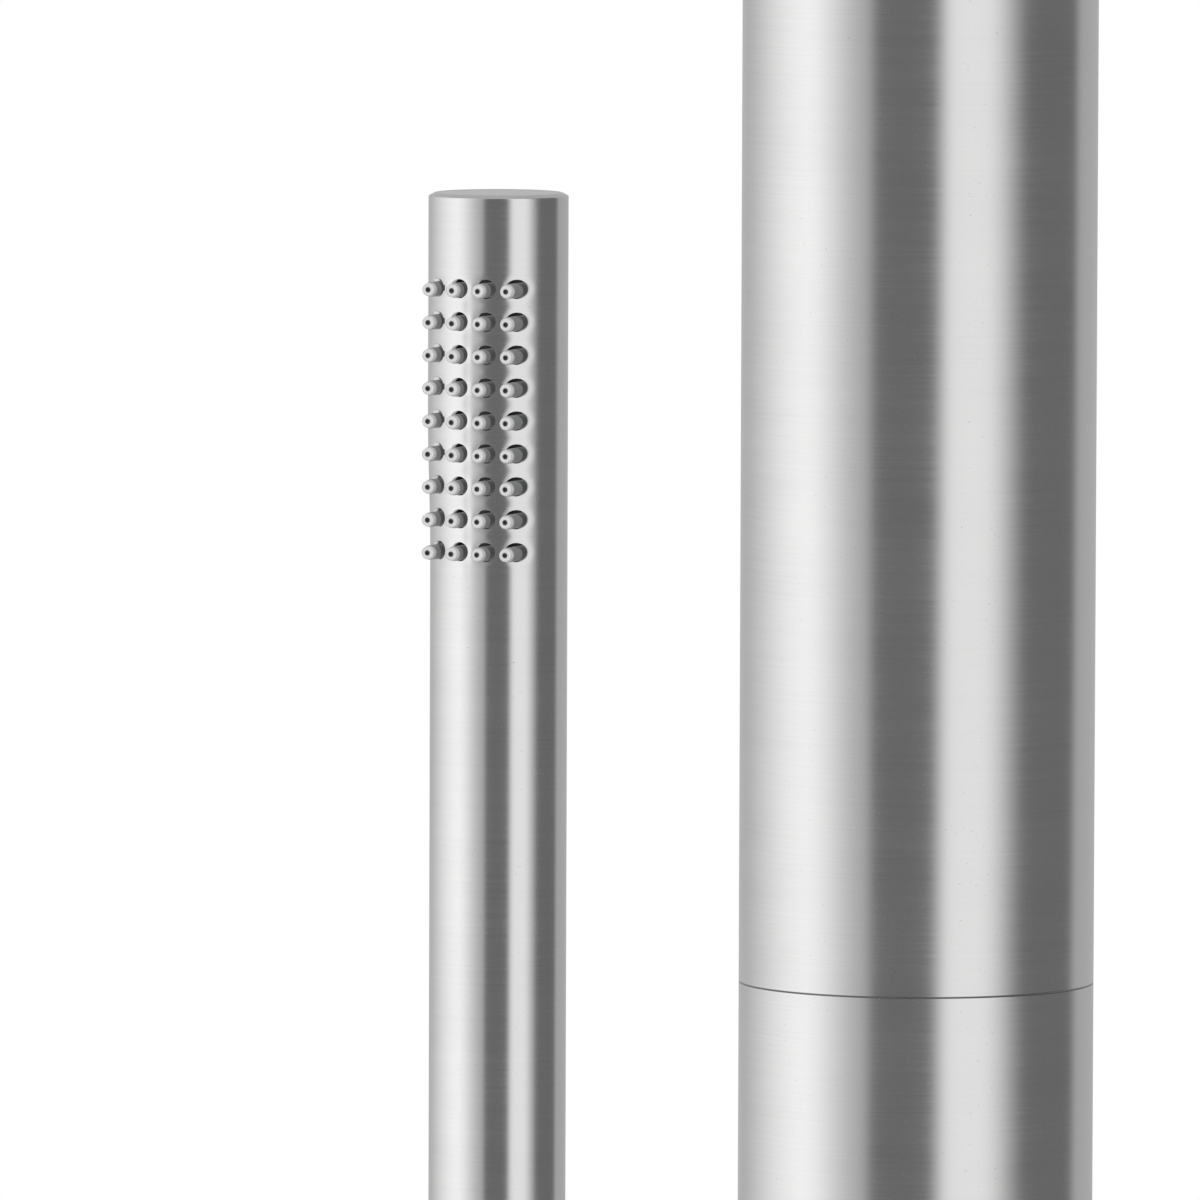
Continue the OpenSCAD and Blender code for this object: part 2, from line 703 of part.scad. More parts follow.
// Mixer: a cartridge with a fixed and a turning disc, held by a ring nut, under a knob with a lever pin
module mixer_cartridge() {
    color(plastic_c) front_from(cartridge_floor + seal_t) difference() {
        cylinder(d = cartridge_d, h = cartridge_len - seal_t - nut_t);
        translate([0, 0, -cut]) cylinder(d = disc_d + 2 * run, h = cut + 2 * disc_t + fit + flange_t + run);
        translate([0, 0, -cut]) cylinder(d = spindle_d + 2 * run, h = cartridge_len + 2 * cut);
        translate([0, 0, mixed_way_front - cartridge_floor - seal_t]) rotate([90, 0, 0])
            cylinder(d = feed_d, h = cartridge_d);
    }
}

module mixer_seal() {
    color(rubber_c) front_from(cartridge_floor) difference() {
        cylinder(d = cartridge_d - column_wall, h = seal_t);
        for (side = [-1, 1])
            translate([side * feed_x, 0, -cut]) cylinder(d = feed_d, h = seal_t + 2 * cut);
    }
}

module mixer_fixed_disc() {
    color(ceramic_c) front_from(cartridge_floor + seal_t) difference() {
        cylinder(d = disc_d, h = disc_t);
        for (side = [-1, 1])
            translate([side * feed_x, 0, -cut]) cylinder(d = feed_d, h = disc_t + 2 * cut);
    }
}

module mixer_turning_disc() {
    color(ceramic_c) front_from(cartridge_floor + seal_t + disc_t) difference() {
        cylinder(d = disc_d, h = disc_t);
        translate([0, disc_d / 4, -cut]) cylinder(d = feed_d, h = disc_t / 2 + cut);
    }
}

module mixer_spindle() {
    start = cartridge_floor + seal_t + 2 * disc_t;
    color(brass_c) front_from(start) {
        cylinder(d = disc_d, h = flange_t);
        cylinder(d = spindle_d, h = knob_front - knob_skin - start);
    }
}

module mixer_nut() {
    color(brass_c) front_from(block_front - nut_t) difference() {
        cylinder(d = cartridge_d, h = nut_t);
        translate([0, 0, -cut]) cylinder(d = spindle_d + 6 * column_wall, h = nut_t + 2 * cut, $fn = 6);
    }
}

// A round collar cut to the column's curve, with room for what stands out of the column behind it
module saddle_collar(outer_d, inner_d, front, z, room_d, room_front) {
    difference() {
        front_from(0, z) bar(outer_d, front, sheet_t / 2);
        front_from(-cut, z) cylinder(d = inner_d, h = front + 2 * cut);
        front_from(-cut, z) cylinder(d = room_d, h = room_front + cut);
        column_cutter(0);
    }
}

module mixer_collar() {
    color(steel_c) saddle_collar(mixer_collar_d, spindle_d + 2 * run, collar_front, 0,
        mixer_boss_d + 4 * fit, block_front + fit);
}

module mixer_knob() {
    color(steel_c) difference() {
        front_from(knob_back) bar(knob_d, knob_len, sheet_t);
        front_from(knob_back - cut) cylinder(d = spindle_d + 2 * fit, h = knob_len - knob_skin + cut + fit);
        front_from(knob_back - cut) cylinder(d = knob_d - 4 * knob_skin, h = knob_len / 2 - knob_skin + cut);
        lever_hole(knob_back + knob_len / 2, 0) cylinder(d = lever_d + 2 * fit, h = knob_d);
        lever_hole(knob_back + knob_len / 2, 0) rotate([0, 180, 0])
            cylinder(d = grub_d + 2 * fit, h = knob_d);
    }
}

module mixer_lever() {
    start = spindle_d / 2 + 2 * fit;
    color(steel_c) lever_hole(knob_back + knob_len / 2, 0) translate([0, 0, start])
        bar(lever_d, knob_d / 2 + lever_len - start, sheet_t / 2);
}

module mixer_grub_screw() {
    start = spindle_d / 2 + fit / 2;
    grub_len = knob_d / 2 - start - sheet_t;
    color(steel_c) lever_hole(knob_back + knob_len / 2, 0) rotate([0, 180, 0]) translate([0, 0, start])
        difference() {
            cylinder(d = grub_d, h = grub_len);
            translate([0, 0, grub_len - grub_d / 2]) cylinder(d = grub_d / 2, h = grub_d, $fn = 6);
        }
}

// Diverter: a smaller cartridge and knob below the mixer
module diverter_cartridge() {
    color(plastic_c) front_from(diverter_floor, -diverter_drop) difference() {
        cylinder(d = diverter_cartridge_d, h = diverter_cartridge_d - nut_t);
        translate([0, 0, -cut])
            cylinder(d = diverter_spindle_d + 2 * run, h = diverter_cartridge_d + 2 * cut);
        translate([0, 0, -cut]) cylinder(d = diverter_cartridge_d * 0.7, h = disc_t + flange_t + cut);
    }
}

module diverter_spindle() {
    start = diverter_floor + run;
    color(ceramic_c) front_from(start, -diverter_drop) {
        difference() {
            cylinder(d = diverter_cartridge_d * 0.7 - 2 * run, h = disc_t + flange_t - 2 * run);
            translate([0, diverter_cartridge_d / 4, -cut]) cylinder(d = way_d / 2, h = disc_t / 2 + cut);
        }
        cylinder(d = diverter_spindle_d, h = diverter_knob_front - knob_skin - start);
    }
}

module diverter_nut() {
    color(brass_c) front_from(block_front - nut_t, -diverter_drop) difference() {
        cylinder(d = diverter_cartridge_d, h = nut_t);
        translate([0, 0, -cut])
            cylinder(d = diverter_spindle_d + 4 * column_wall, h = nut_t + 2 * cut, $fn = 6);
    }
}

module diverter_collar() {
    color(steel_c) saddle_collar(diverter_collar_d, diverter_spindle_d + 2 * run, diverter_collar_front,
        -diverter_drop, diverter_boss_d + 4 * fit, block_front + fit);
}

module diverter_knob() {
    color(steel_c) difference() {
        front_from(diverter_knob_back, -diverter_drop) bar(diverter_knob_d, diverter_knob_len, sheet_t);
        front_from(diverter_knob_back - cut, -diverter_drop)
            cylinder(d = diverter_spindle_d + 2 * fit, h = diverter_knob_len - knob_skin + cut + fit);
        lever_hole(diverter_knob_back + diverter_knob_len / 2, -diverter_drop)
            cylinder(d = diverter_lever_d + 2 * fit, h = diverter_knob_d);
    }
}

module diverter_lever() {
    start = diverter_spindle_d / 2 + 2 * fit;
    color(steel_c) lever_hole(diverter_knob_back + diverter_knob_len / 2, -diverter_drop)
        translate([0, 0, start])
            bar(diverter_lever_d, diverter_knob_d / 2 + diverter_lever_len - start, sheet_t / 2);
}

// Overhead shower: the arm with its collar and nut, and the head on its ball joint
module shower_arm() {
    straight = arm_reach - arm_bend - arm_start;
    color(steel_c) {
        front_from(arm_start, arm_z) ring(arm_d / 2, arm_in_r, straight);
        at_head() translate([0, arm_bend, arm_z - arm_bend]) rotate([90, 0, -90]) rotate_extrude(angle = 90)
            translate([arm_bend, 0]) difference() {
                circle(d = arm_d);
                circle(r = arm_in_r);
            }
        at_head() translate([0, 0, arm_end_z]) ring(arm_d / 2, arm_in_r, arm_tail);
    }
}

module arm_collar() {
    color(steel_c)
        saddle_collar(arm_d + 2 * socket_depth, arm_d + 2 * fit, column_r + cap_rim, arm_z, arm_d, 0);
}

// Ring nut that grips the arm behind the tube's front wall
module arm_nut() {
    front = sqrt(pow(column_in_r, 2) - pow(arm_nut_d / 2, 2)) - fit;
    color(brass_c) front_from(front - plate_t, arm_z) difference() {
        cylinder(d = arm_nut_d, h = plate_t, $fn = 6);
        translate([0, 0, -cut]) cylinder(d = arm_d + 2 * fit, h = plate_t + 2 * cut);
    }
}

module ball_stud() {
    shank = arm_tail * 0.75;
    color(brass_c) at_head() difference() {
        union() {
            translate([0, 0, arm_end_z]) cylinder(r = arm_in_r - fit, h = shank);
            translate([0, 0, arm_end_z - column_wall]) cylinder(d = arm_d, h = column_wall);
            translate([0, 0, ball_z]) cylinder(d = stud_neck_d, h = arm_end_z - ball_z);
            translate([0, 0, ball_z]) sphere(d = ball_d);
        }
        translate([0, 0, ball_z - ball_d])
            cylinder(d = stud_neck_d / 2, h = ball_d + arm_end_z - ball_z + shank + cut);
    }
}

// Sealing seat under the ball
module ball_seat() {
    color(plastic_c) at_head() difference() {
        translate([0, 0, hub_top - ball_d / 4]) cylinder(d = ball_d + 2 * seat_t, h = ball_d / 4);
        translate([0, 0, ball_z]) sphere(r = ball_d / 2 + run / 2);
    }
}

// Nut that holds the ball down in the hub
module swivel_nut() {
    low = hub_top - ball_d / 4;
    high = ball_z + ball_d / 2 * 0.72;
    color(steel_c) at_head() difference() {
        union() {
            translate([0, 0, low]) cylinder(r = nut_r, h = high - low);
            translate([0, 0, high]) cylinder(r1 = nut_r, r2 = nut_r - nut_wall / 2, h = nut_wall / 2);
        }
        translate([0, 0, low - cut]) cylinder(d = ball_d + 2 * seat_t + 2 * fit, h = ball_d / 4 + cut + fit);
        translate([0, 0, ball_z]) sphere(r = ball_d / 2 + run / 2);
        translate([0, 0, ball_z]) cylinder(r1 = stud_neck_d / 2 + run, r2 = stud_neck_d + run, h = ball_d);
    }
}

module head_shell() {
    seat_low = hub_top - ball_d / 4;
    color(steel_c) at_head() difference() {
        union() {
            translate([0, 0, head_low + head_sheet]) cylinder(d = head_d, h = head_t - head_sheet);
            translate([0, 0, head_top - cut / 2]) cylinder(r = nut_r, h = seat_low - head_top + cut / 2);
        }
        translate([0, 0, head_low + head_sheet - cut])
            cylinder(d = head_d - 2 * head_sheet, h = head_t - 2 * head_sheet + cut);
        translate([0, 0, head_low]) cylinder(d = stud_neck_d, h = seat_low);
    }
}

module head_places() {
    children();
    for (k = [1 : head_rings], i = [0 : ring_step * k - 1])
        rotate([0, 0, i * 360 / (ring_step * k)]) translate([k * head_ring_pitch, 0, 0]) children();
}

module head_plate() {
    color(steel_c) at_head() difference() {
        translate([0, 0, head_low]) cylinder(d = head_d, h = head_sheet);
        translate([0, 0, head_low - cut]) head_places()
            cylinder(d = head_nozzle_d + 2 * fit, h = head_sheet + 2 * cut, $fn = small_fn);
    }
}

module head_nozzles() {
    r = head_rings * head_ring_pitch + head_nozzle_d * 2;
    color(silicone_c) at_head() difference() {
        union() {
            translate([0, 0, head_low + head_sheet]) cylinder(r = r, h = mat_t);
            translate([0, 0, head_low - head_nozzle_drop]) head_places()
                cylinder(d = head_nozzle_d, h = head_nozzle_drop + head_sheet + mat_t, $fn = small_fn);
        }
        translate([0, 0, head_low - head_nozzle_drop - cut]) head_places()
            cylinder(d = head_nozzle_d / 3, h = head_nozzle_drop + head_sheet + mat_t + 2 * cut,
                $fn = fine_fn);
    }
}

// Hand shower. Its nozzles are parallel and point out of the front
module nozzle_places() {
    for (row = [0 : nozzle_rows - 1], col = [0 : nozzle_cols - 1])
        let (x = (col - (nozzle_cols - 1) / 2) * col_pitch,
            tip = abs(x) < col_pitch ? inner_tip_reach : outer_tip_reach) {
            $tip = tip;
            translate([x, 0, stick_top - first_row - row * row_pitch]) rotate(front_turn) children();
        }
}

module hand_tube() {
    color(steel_c) at_stick() difference() {
        translate([0, 0, stick_low]) ring(stick_r, stick_in_r, stick_len - cap_rim / 2);
        nozzle_places() cylinder(d = nozzle_hole_d, h = stick_r + cut, $fn = 2 * fine_fn);
    }
}

module hand_top_cap() {
    color(steel_c) at_stick() {
        translate([0, 0, stick_top - cap_rim / 2]) bar(stick_d, cap_rim / 2, stick_chamfer);
        translate([0, 0, stick_top - cap_rim / 2 - cap_rim])
            cylinder(r = stick_in_r - fit, h = cap_rim + cut / 2);
    }
}

// Silicone strip behind the tube's wall, with the nozzles that come through it
module nozzle_strip() {
    span = (nozzle_rows - 1) * row_pitch + 2 * strip_end;
    low = stick_top - first_row - (nozzle_rows - 1) * row_pitch - strip_end;
    half_w = (nozzle_cols - 1) / 2 * col_pitch + nozzle_base_d;
    color(silicone_c) at_stick() difference() {
        union() {
            intersection() {
                translate([0, 0, low]) ring(stick_in_r - strip_gap, stick_in_r - strip_gap - strip_t, span);
                translate([-half_w, -stick_r, low]) cube([2 * half_w, stick_r, span]);
            }
            translate([0, 0, -nozzle_sag]) nozzle_places() translate([0, 0, stick_in_r / 2]) intersection() {
                cylinder(d1 = nozzle_base_d + run, d2 = nozzle_tip_d, h = $tip - stick_in_r / 2,
                    $fn = small_fn);
                cylinder(d = nozzle_base_d, h = $tip, $fn = small_fn);
            }
        }
        translate([0, 0, low]) cylinder(r = stick_in_r - strip_gap - strip_t, h = span);
        translate([0, 0, -nozzle_sag]) nozzle_places() cylinder(d = orifice_d, h = stick_d, $fn = fine_fn);
    }
}

// Threaded tail that the hose screws on to, swivelling in the tube's foot
module hose_tail() {
    groove = tail_spigot / 4;
    tail_low = stick_low - run - tail_shank - thread_len;
    r = stick_in_r - run / 4;
    color(brass_c) at_stick() difference() {
        union() {
            translate([0, 0, stick_low - run]) cylinder(d = stick_d - 2 * fit, h = run - fit / 2);
            translate([0, 0, stick_low - run]) rotate_extrude() polygon([[0, 0], [r, 0], [r, groove + run],
                [r - column_wall, groove + run], [r - column_wall, 2 * groove + run], [r, 2 * groove + run],
                [r, tail_spigot], [0, tail_spigot]]);
            translate([0, 0, stick_low - run - tail_shank])
                cylinder(d = thread_d - column_wall, h = tail_shank);
            translate([0, 0, tail_low]) cylinder(d = thread_d, h = thread_len);
        }
        translate([0, 0, tail_low - cut])
            cylinder(d = way_d, h = stick_low + tail_spigot - tail_low + 2 * cut);
    }
}

module tail_seal() {
    groove = tail_spigot / 4;
    color(rubber_c) at_stick() translate([0, 0, stick_low + groove + fit / 2])
        ring(stick_in_r - run / 4, stick_in_r - run / 4 - column_wall + fit, groove - fit);
}

// Holder on the housing's left side: an arm, a slotted cup and its plastic liner
module hose_slot(h) {
    translate([-slot_w / 2, -cup_d, -cut]) cube([slot_w, cup_d, h + 2 * cut]);
}

module holder_cup() {
    color(steel_c) at_stick() translate([0, 0, cup_floor_h]) difference() {
        cylinder(d = cup_d, h = cup_h);
        translate([0, 0, cup_floor_t]) cylinder(d = cup_d - 2 * cup_wall, h = cup_h);
        translate([0, 0, -cut]) cylinder(d = thread_d + 4 * run, h = cup_h);
        hose_slot(cup_h);
    }
}

module holder_liner() {
    color(plastic_c) at_stick() translate([0, 0, cup_floor_h + cup_floor_t]) difference() {
        cylinder(r = liner_r, h = cup_h - cup_floor_t);
        translate([0, 0, cup_floor_t - run]) cylinder(r = stick_r + run, h = cup_h);
        translate([0, 0, -cut]) cylinder(d = thread_d + 4 * run, h = cup_h);
        hose_slot(cup_h);
    }
}

module holder_arm() {
    color(steel_c) difference() {
        holder_axis() cylinder(d = holder_arm_d, h = stick_offset);
        holder_axis() cylinder(d = holder_screw_d + 2 * fit, h = column_r + holder_screw_len);
        at_stick() cylinder(d = cup_d, h = seam_h);
        column_cutter(0);
    }
}

// The screw's head lies on two sides against the housing's inner wall
module holder_screw() {
    head_t = holder_screw_d / 2;
    head_x = sqrt(pow(column_in_r, 2) - pow(holder_screw_head_d / 2, 2));
    color(steel_c) holder_axis() {
        translate([0, 0, head_x - head_t]) cylinder(d = holder_screw_head_d, h = head_t);
        translate([0, 0, head_x])
            cylinder(d = holder_screw_d, h = column_r - head_x + holder_screw_len - 2 * fit);
    }
}

riser_tube();
lower_housing();
joint_sleeve();
top_cap();
bottom_cap();
cap_seals();
lower_wall_plate();
lower_standoff();
lower_rosette();
upper_wall_plate();
upper_standoff();
upper_rosette();
upper_standoff_bolt();
standoff_fix_screws();
block_screws();
inlet_nipples();
inlet_strainers();
check_valve_bodies();
hot_check_poppet();
cold_check_poppet();
hot_check_spring();
cold_check_spring();
valve_block();
riser_pipe();
arm_elbow();
hose_outlet();
mixer_cartridge();
mixer_fixed_disc();
mixer_turning_disc();
mixer_spindle();
mixer_seal();
mixer_nut();
mixer_collar();
mixer_knob();
mixer_lever();
mixer_grub_screw();
diverter_cartridge();
diverter_spindle();
diverter_nut();
diverter_collar();
diverter_knob();
diverter_lever();
shower_arm();
arm_collar();
arm_nut();
ball_stud();
ball_seat();
swivel_nut();
head_shell();
head_plate();
head_nozzles();
hand_tube();
hand_top_cap();
nozzle_strip();
hose_tail();
tail_seal();
holder_arm();
holder_cup();
holder_liner();
holder_screw();
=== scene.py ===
"""Looks of a wall-mounted outdoor shower in brushed steel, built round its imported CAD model.

All lengths are in metres, in the CAD's own frame: +Z up, -Y out of the wall, the origin on the wall
level with the mixer's axis.
"""

import json
import logging
import math
from collections.abc import Sequence
from dataclasses import dataclass
from enum import Enum
from typing import Any

import bpy
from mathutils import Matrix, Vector

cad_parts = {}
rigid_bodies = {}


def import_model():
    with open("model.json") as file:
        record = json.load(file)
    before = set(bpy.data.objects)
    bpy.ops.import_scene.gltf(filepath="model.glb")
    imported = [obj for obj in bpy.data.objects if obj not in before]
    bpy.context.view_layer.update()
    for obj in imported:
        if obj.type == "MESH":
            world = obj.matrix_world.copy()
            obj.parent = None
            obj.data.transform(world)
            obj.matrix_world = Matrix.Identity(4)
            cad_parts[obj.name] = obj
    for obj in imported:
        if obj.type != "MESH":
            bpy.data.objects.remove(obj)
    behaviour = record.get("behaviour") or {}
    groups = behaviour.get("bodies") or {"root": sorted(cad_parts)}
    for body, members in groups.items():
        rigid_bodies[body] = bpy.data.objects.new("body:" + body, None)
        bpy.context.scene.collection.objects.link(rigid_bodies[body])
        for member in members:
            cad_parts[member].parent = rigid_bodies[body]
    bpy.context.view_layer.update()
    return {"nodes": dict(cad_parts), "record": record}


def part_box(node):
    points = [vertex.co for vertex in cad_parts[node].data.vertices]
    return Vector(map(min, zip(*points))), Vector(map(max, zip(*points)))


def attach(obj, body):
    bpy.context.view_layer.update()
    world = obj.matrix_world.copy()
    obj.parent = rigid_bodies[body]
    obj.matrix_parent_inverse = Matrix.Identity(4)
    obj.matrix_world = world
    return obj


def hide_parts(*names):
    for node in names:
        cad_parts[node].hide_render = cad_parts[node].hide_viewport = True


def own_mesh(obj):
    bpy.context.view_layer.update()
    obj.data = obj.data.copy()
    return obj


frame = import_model()

log = logging.getLogger("shower")

MM = 0.001
COLUMN_AXIS = (0.0, -0.080)
BATON_AXIS = (-0.079, -0.080)
HEAD_AXIS = (0.0, -0.410)
MIXER_Z = 0.0
DIVERTER_Z = -0.078
UPPER_FIXING_Z = 0.850
ARM_Z = 0.955
HOLDER_Z = 0.049
SEAM_Z = 110 * MM
TIP_DISTANCE = "tip_distance"
# Mark for the points in a nozzle's bore, which are painted black as shade.
BORE_SHADE_MARK = 14 * MM
TINY = 1e-6
MERGE = 0.002 * MM
DRILL_STEPS = 96

Number = int | float
Pair = tuple[float, float]
Colour = tuple[float, float, float]
Triple = tuple[float, float, float]
Piece = bpy.types.Object
Socket = bpy.types.NodeSocket


def spaced(low: float, high: float, count: int) -> list[float]:
    """Returns evenly spaced values from low, without high."""
    return [low + (high - low) * i / count for i in range(count)]


def ramp(value: float, low: float, high: float) -> float:
    """Rises evenly from 0 at low to 1 at high."""
    return min(max((value - low) / (high - low), 0.0), 1.0)


def direction(azimuth: float, elevation: float) -> Vector:
    """Returns the direction from the object to a place at these angles, in degrees."""
    a, e = math.radians(azimuth), math.radians(elevation)
    return Vector((math.sin(a) * math.cos(e), -math.cos(a) * math.cos(e), math.sin(e)))


class Axis(Enum):
    """The axis that a turned piece's brushing runs round."""

    X = 0
    Y = 1
    Z = 2


class Value:
    """A shader value in a Python expression: each operator adds a Math node."""

    def __init__(self, graph: "Graph", socket: Socket) -> None:
        """Wraps an output socket of the graph."""
        self.graph = graph
        self.socket = socket

    def math(self, operation: str, *others: Any) -> "Value":
        """Adds a Math node of this value and the others, and returns its result."""
        node = self.graph.add("Math", dict(enumerate((self, *others))), operation=operation)
        return Value(self.graph, node.outputs[0])

    def __add__(self, other: Any) -> "Value":
        """Adds a number or a value."""
        return self.math("ADD", other)

    def __sub__(self, other: Any) -> "Value":
        """Subtracts a number or a value."""
        return self.math("SUBTRACT", other)

    def __mul__(self, other: Any) -> "Value":
        """Multiplies by a number or a value."""
        return self.math("MULTIPLY", other)

    def distance(self, other: "Value") -> "Value":
        """Returns the distance from the centre of a point with these two coordinates."""
        return (self * self + other * other).math("SQRT")

    def clamped(self) -> "Value":
        """Keeps the value between 0 and 1."""
        return self.math("MAXIMUM", 0.0).math("MINIMUM", 1.0)

    def smooth(self, low: Number, high: Number) -> "Value":
        """Rises smoothly from 0 at low to 1 at high."""
        inputs = {"Value": self, "From Min": low, "From Max": high}
        node = self.graph.add("MapRange", inputs, interpolation_type="SMOOTHSTEP")
        return Value(self.graph, node.outputs["Result"])


class Graph:
    """Adds and links the nodes of one material or world."""

    def __init__(self, owner: bpy.types.Material | bpy.types.World) -> None:
        """Empties the owner's node tree and keeps it."""
        owner.use_nodes = True
        self.tree = owner.node_tree
        self.tree.nodes.clear()

    def add(self, kind: str, inputs: dict | None = None, **settings: Any) -> bpy.types.Node:
        """Adds a node.

        Args:
            kind: the node's type, without its ShaderNode prefix.
            inputs: values or links of its sockets, by name or number.
            settings: the node's own settings.

        Returns:
            The new node.
        """
        node = self.tree.nodes.new("ShaderNode" + kind)
        for name, setting in settings.items():
            setattr(node, name, setting)
        for name, source in (inputs or {}).items():
            self.feed(node.inputs[name], source)
        return node

    def feed(self, socket: Socket, source: Any) -> None:
        """Links a value to a socket, or sets the socket to a number or a colour.

        Args:
            socket: the socket.
            source: a value, an output socket, a number or a colour.
        """
        if isinstance(source, Value):
            self.tree.links.new(source.socket, socket)
        elif isinstance(source, Socket):
            self.tree.links.new(source, socket)
        elif isinstance(source, tuple) and socket.type == "RGBA" and len(source) == 3:
            socket.default_value = (*source, 1.0)
        else:
            socket.default_value = source

    def value(self, node: bpy.types.Node, output: int | str = 0) -> Value:
        """Wraps one output of a node."""
        return Value(self, node.outputs[output])

    def place(self) -> tuple[Value, Value, Value]:
        """Returns the point's own coordinates on the object, in metres."""
        source = self.add("TexCoord").outputs["Object"]
        parts = self.add("SeparateXYZ", {0: source})
        return tuple(self.value(parts, i) for i in range(3))

    def vector(self, x: Any, y: Any, z: Any) -> Socket:
        """Joins three values into a vector."""
        return self.add("CombineXYZ", {0: x, 1: y, 2: z}).outputs[0]

    def noise(self, vector: Any, scale: Number, detail: Number = 2.0, **inputs: Any) -> Value:
        """Adds a noise texture.

        Args:
            vector: the place that it is read at.
            scale: its scale.
            detail: its number of finer layers.
            inputs: its other inputs. With W among them it has four dimensions.

        Returns:
            Its level, about 0.5 on average.
        """
        sockets = {"Vector": vector, "Scale": scale, "Detail": detail, **inputs}
        settings = {"noise_dimensions": "4D"} if "W" in inputs else {}
        return self.value(self.add("TexNoise", sockets, **settings), "Fac")

    def mix(self, factor: Any, first: Any, second: Any) -> Socket:
        """Mixes two colours.

        Args:
            factor: the share of the second.
            first: a colour.
            second: another colour.

        Returns:
            The mixed colour.
        """
        node = self.add("Mix", {"Factor": factor}, data_type="RGBA")
        self.feed(node.inputs["A"], first)
        self.feed(node.inputs["B"], second)
        return node.outputs["Result"]

    def bump(self, height: Any, strength: Number, distance: Number) -> Socket:
        """Adds a bump node and returns its normal."""
        inputs = {"Height": height, "Strength": strength, "Distance": distance}
        return self.add("Bump", inputs).outputs["Normal"]


@dataclass(frozen=True)
class Finish:
    """A surface finish. Its subclasses say what varies over the surface."""

    name: str

    def material(self) -> bpy.types.Material:
        """Makes this finish's material, if it isn't made yet.

        Returns:
            The material.
        """
        made = bpy.data.materials.get(self.name)
        if made is None:
            made = bpy.data.materials.new(self.name)
            graph = Graph(made)
            shader = graph.add("BsdfPrincipled", self.inputs(graph))
            graph.add("OutputMaterial", {"Surface": shader.outputs[0]})
        return made

    def inputs(self, graph: Graph) -> dict:
        """Returns the inputs of the Principled shader."""
        raise NotImplementedError


@dataclass(frozen=True)
class TurnedMetal(Finish):
    """Metal with fine lines round an axis: round its sides and in rings on its ends. Where set, it also
    paints shade: dark inside a tube and its holes, and a dark line along a seam.
    """

    axis: Axis = Axis.Z
    centre: Pair = COLUMN_AXIS
    dark: Colour = (0.64, 0.64, 0.64)
    light: Colour = (0.76, 0.76, 0.755)
    roughness: float = 0.20
    line_pitch: float = 0.35 * MM
    streak: float = 90.0
    groove: float = 0.0026 * MM
    line_share: float = 0.55
    line_detail: float = 3.0
    cloud_scale: float = 40.0
    cloud_stretch: float = 3.0
    speck_scale: float = 1800.0
    speck_stretch: float = 2.0
    speck_span: Pair = (0.74, 0.80)
    speck_share: float = 0.35
    speck_shade: float = 0.45
    roughening: Triple = (0.10, 0.06, 0.2)
    # Painted shade: inside this radius from the axis the colour fades to the dark inside colour, for the
    # shade inside a tube and its holes.
    inside_shade_radius: float = 0.0
    inside_shade_fade: float = 0.3 * MM
    relief: float = 0.35
    # Painted shade: a dark line at this height stands for the shade in the seam where the two column tubes
    # meet.
    seam_z: float = 0.0
    seam_fade: Pair = (0.072 * MM, 0.24 * MM)
    seam_shade: Colour = (0.10, 0.10, 0.10)
    # Colour of the painted shade inside a tube.
    inside: Colour = (0.03, 0.03, 0.03)

    def across(self, graph: Graph) -> tuple[Value, Value, Value]:
        """Splits the object's coordinates by the metal's axis.

        Args:
            graph: the material's graph.

        Returns:
            The place along the axis and the two places across it, from the centre.
        """
        coordinates = graph.place()
        along = coordinates[self.axis.value]
        first, second = (c for i, c in enumerate(coordinates) if i != self.axis.value)
        return along, first - self.centre[0], second - self.centre[1]

    def inputs(self, graph: Graph) -> dict:
        """Adds lines, cloudy patches and specks, and painted shade inside a tube and along a seam where
        these are set.

        Args:
            graph: the material's graph.

        Returns:
            The shader's inputs.
        """
        along, first, second = self.across(graph)
        radial = first.distance(second)
        fine = 1.0 / self.line_pitch
        slow = fine / self.streak
        wound = graph.vector(along * fine, radial * fine, first * slow)
        lines = graph.noise(wound, 1.0, self.line_detail, W=second * slow)
        patches = graph.vector(along * self.cloud_stretch, first, second)
        cloud = graph.noise(patches, self.cloud_scale, detail=3.0)
        dots = graph.vector(along * self.speck_stretch, first, second)
        speck = graph.noise(dots, self.speck_scale, detail=1.0)
        specks = speck.smooth(*self.speck_span)
        tone = (lines * self.line_share + cloud * (1 - self.line_share)).clamped()
        shade = graph.mix(tone, self.dark, self.light)
        fleck = tuple(self.speck_shade * c for c in self.dark)
        specks_and_shade = graph.mix(specks * self.speck_share, shade, fleck)
        # Painted shade inside the tube and on the inner part of its hole walls.
        if self.inside_shade_radius:
            skin = radial.smooth(self.inside_shade_radius - self.inside_shade_fade, self.inside_shade_radius + self.inside_shade_fade)
            specks_and_shade = graph.mix(skin, self.inside, specks_and_shade)
        # Painted shade in the seam between the two column tubes.
        if self.seam_z:
            away = (along - self.seam_z).math("ABSOLUTE")
            specks_and_shade = graph.mix(away.smooth(*self.seam_fade), self.seam_shade, specks_and_shade)
        line, patch, fleck = self.roughening
        rough = (lines - 0.5) * line + (cloud - 0.5) * patch + specks * fleck + self.roughness
        return {
            "Base Color": specks_and_shade,
            "Metallic": 1.0,
            "Roughness": rough.clamped(),
            "Normal": graph.bump(lines, self.relief, self.groove),
        }


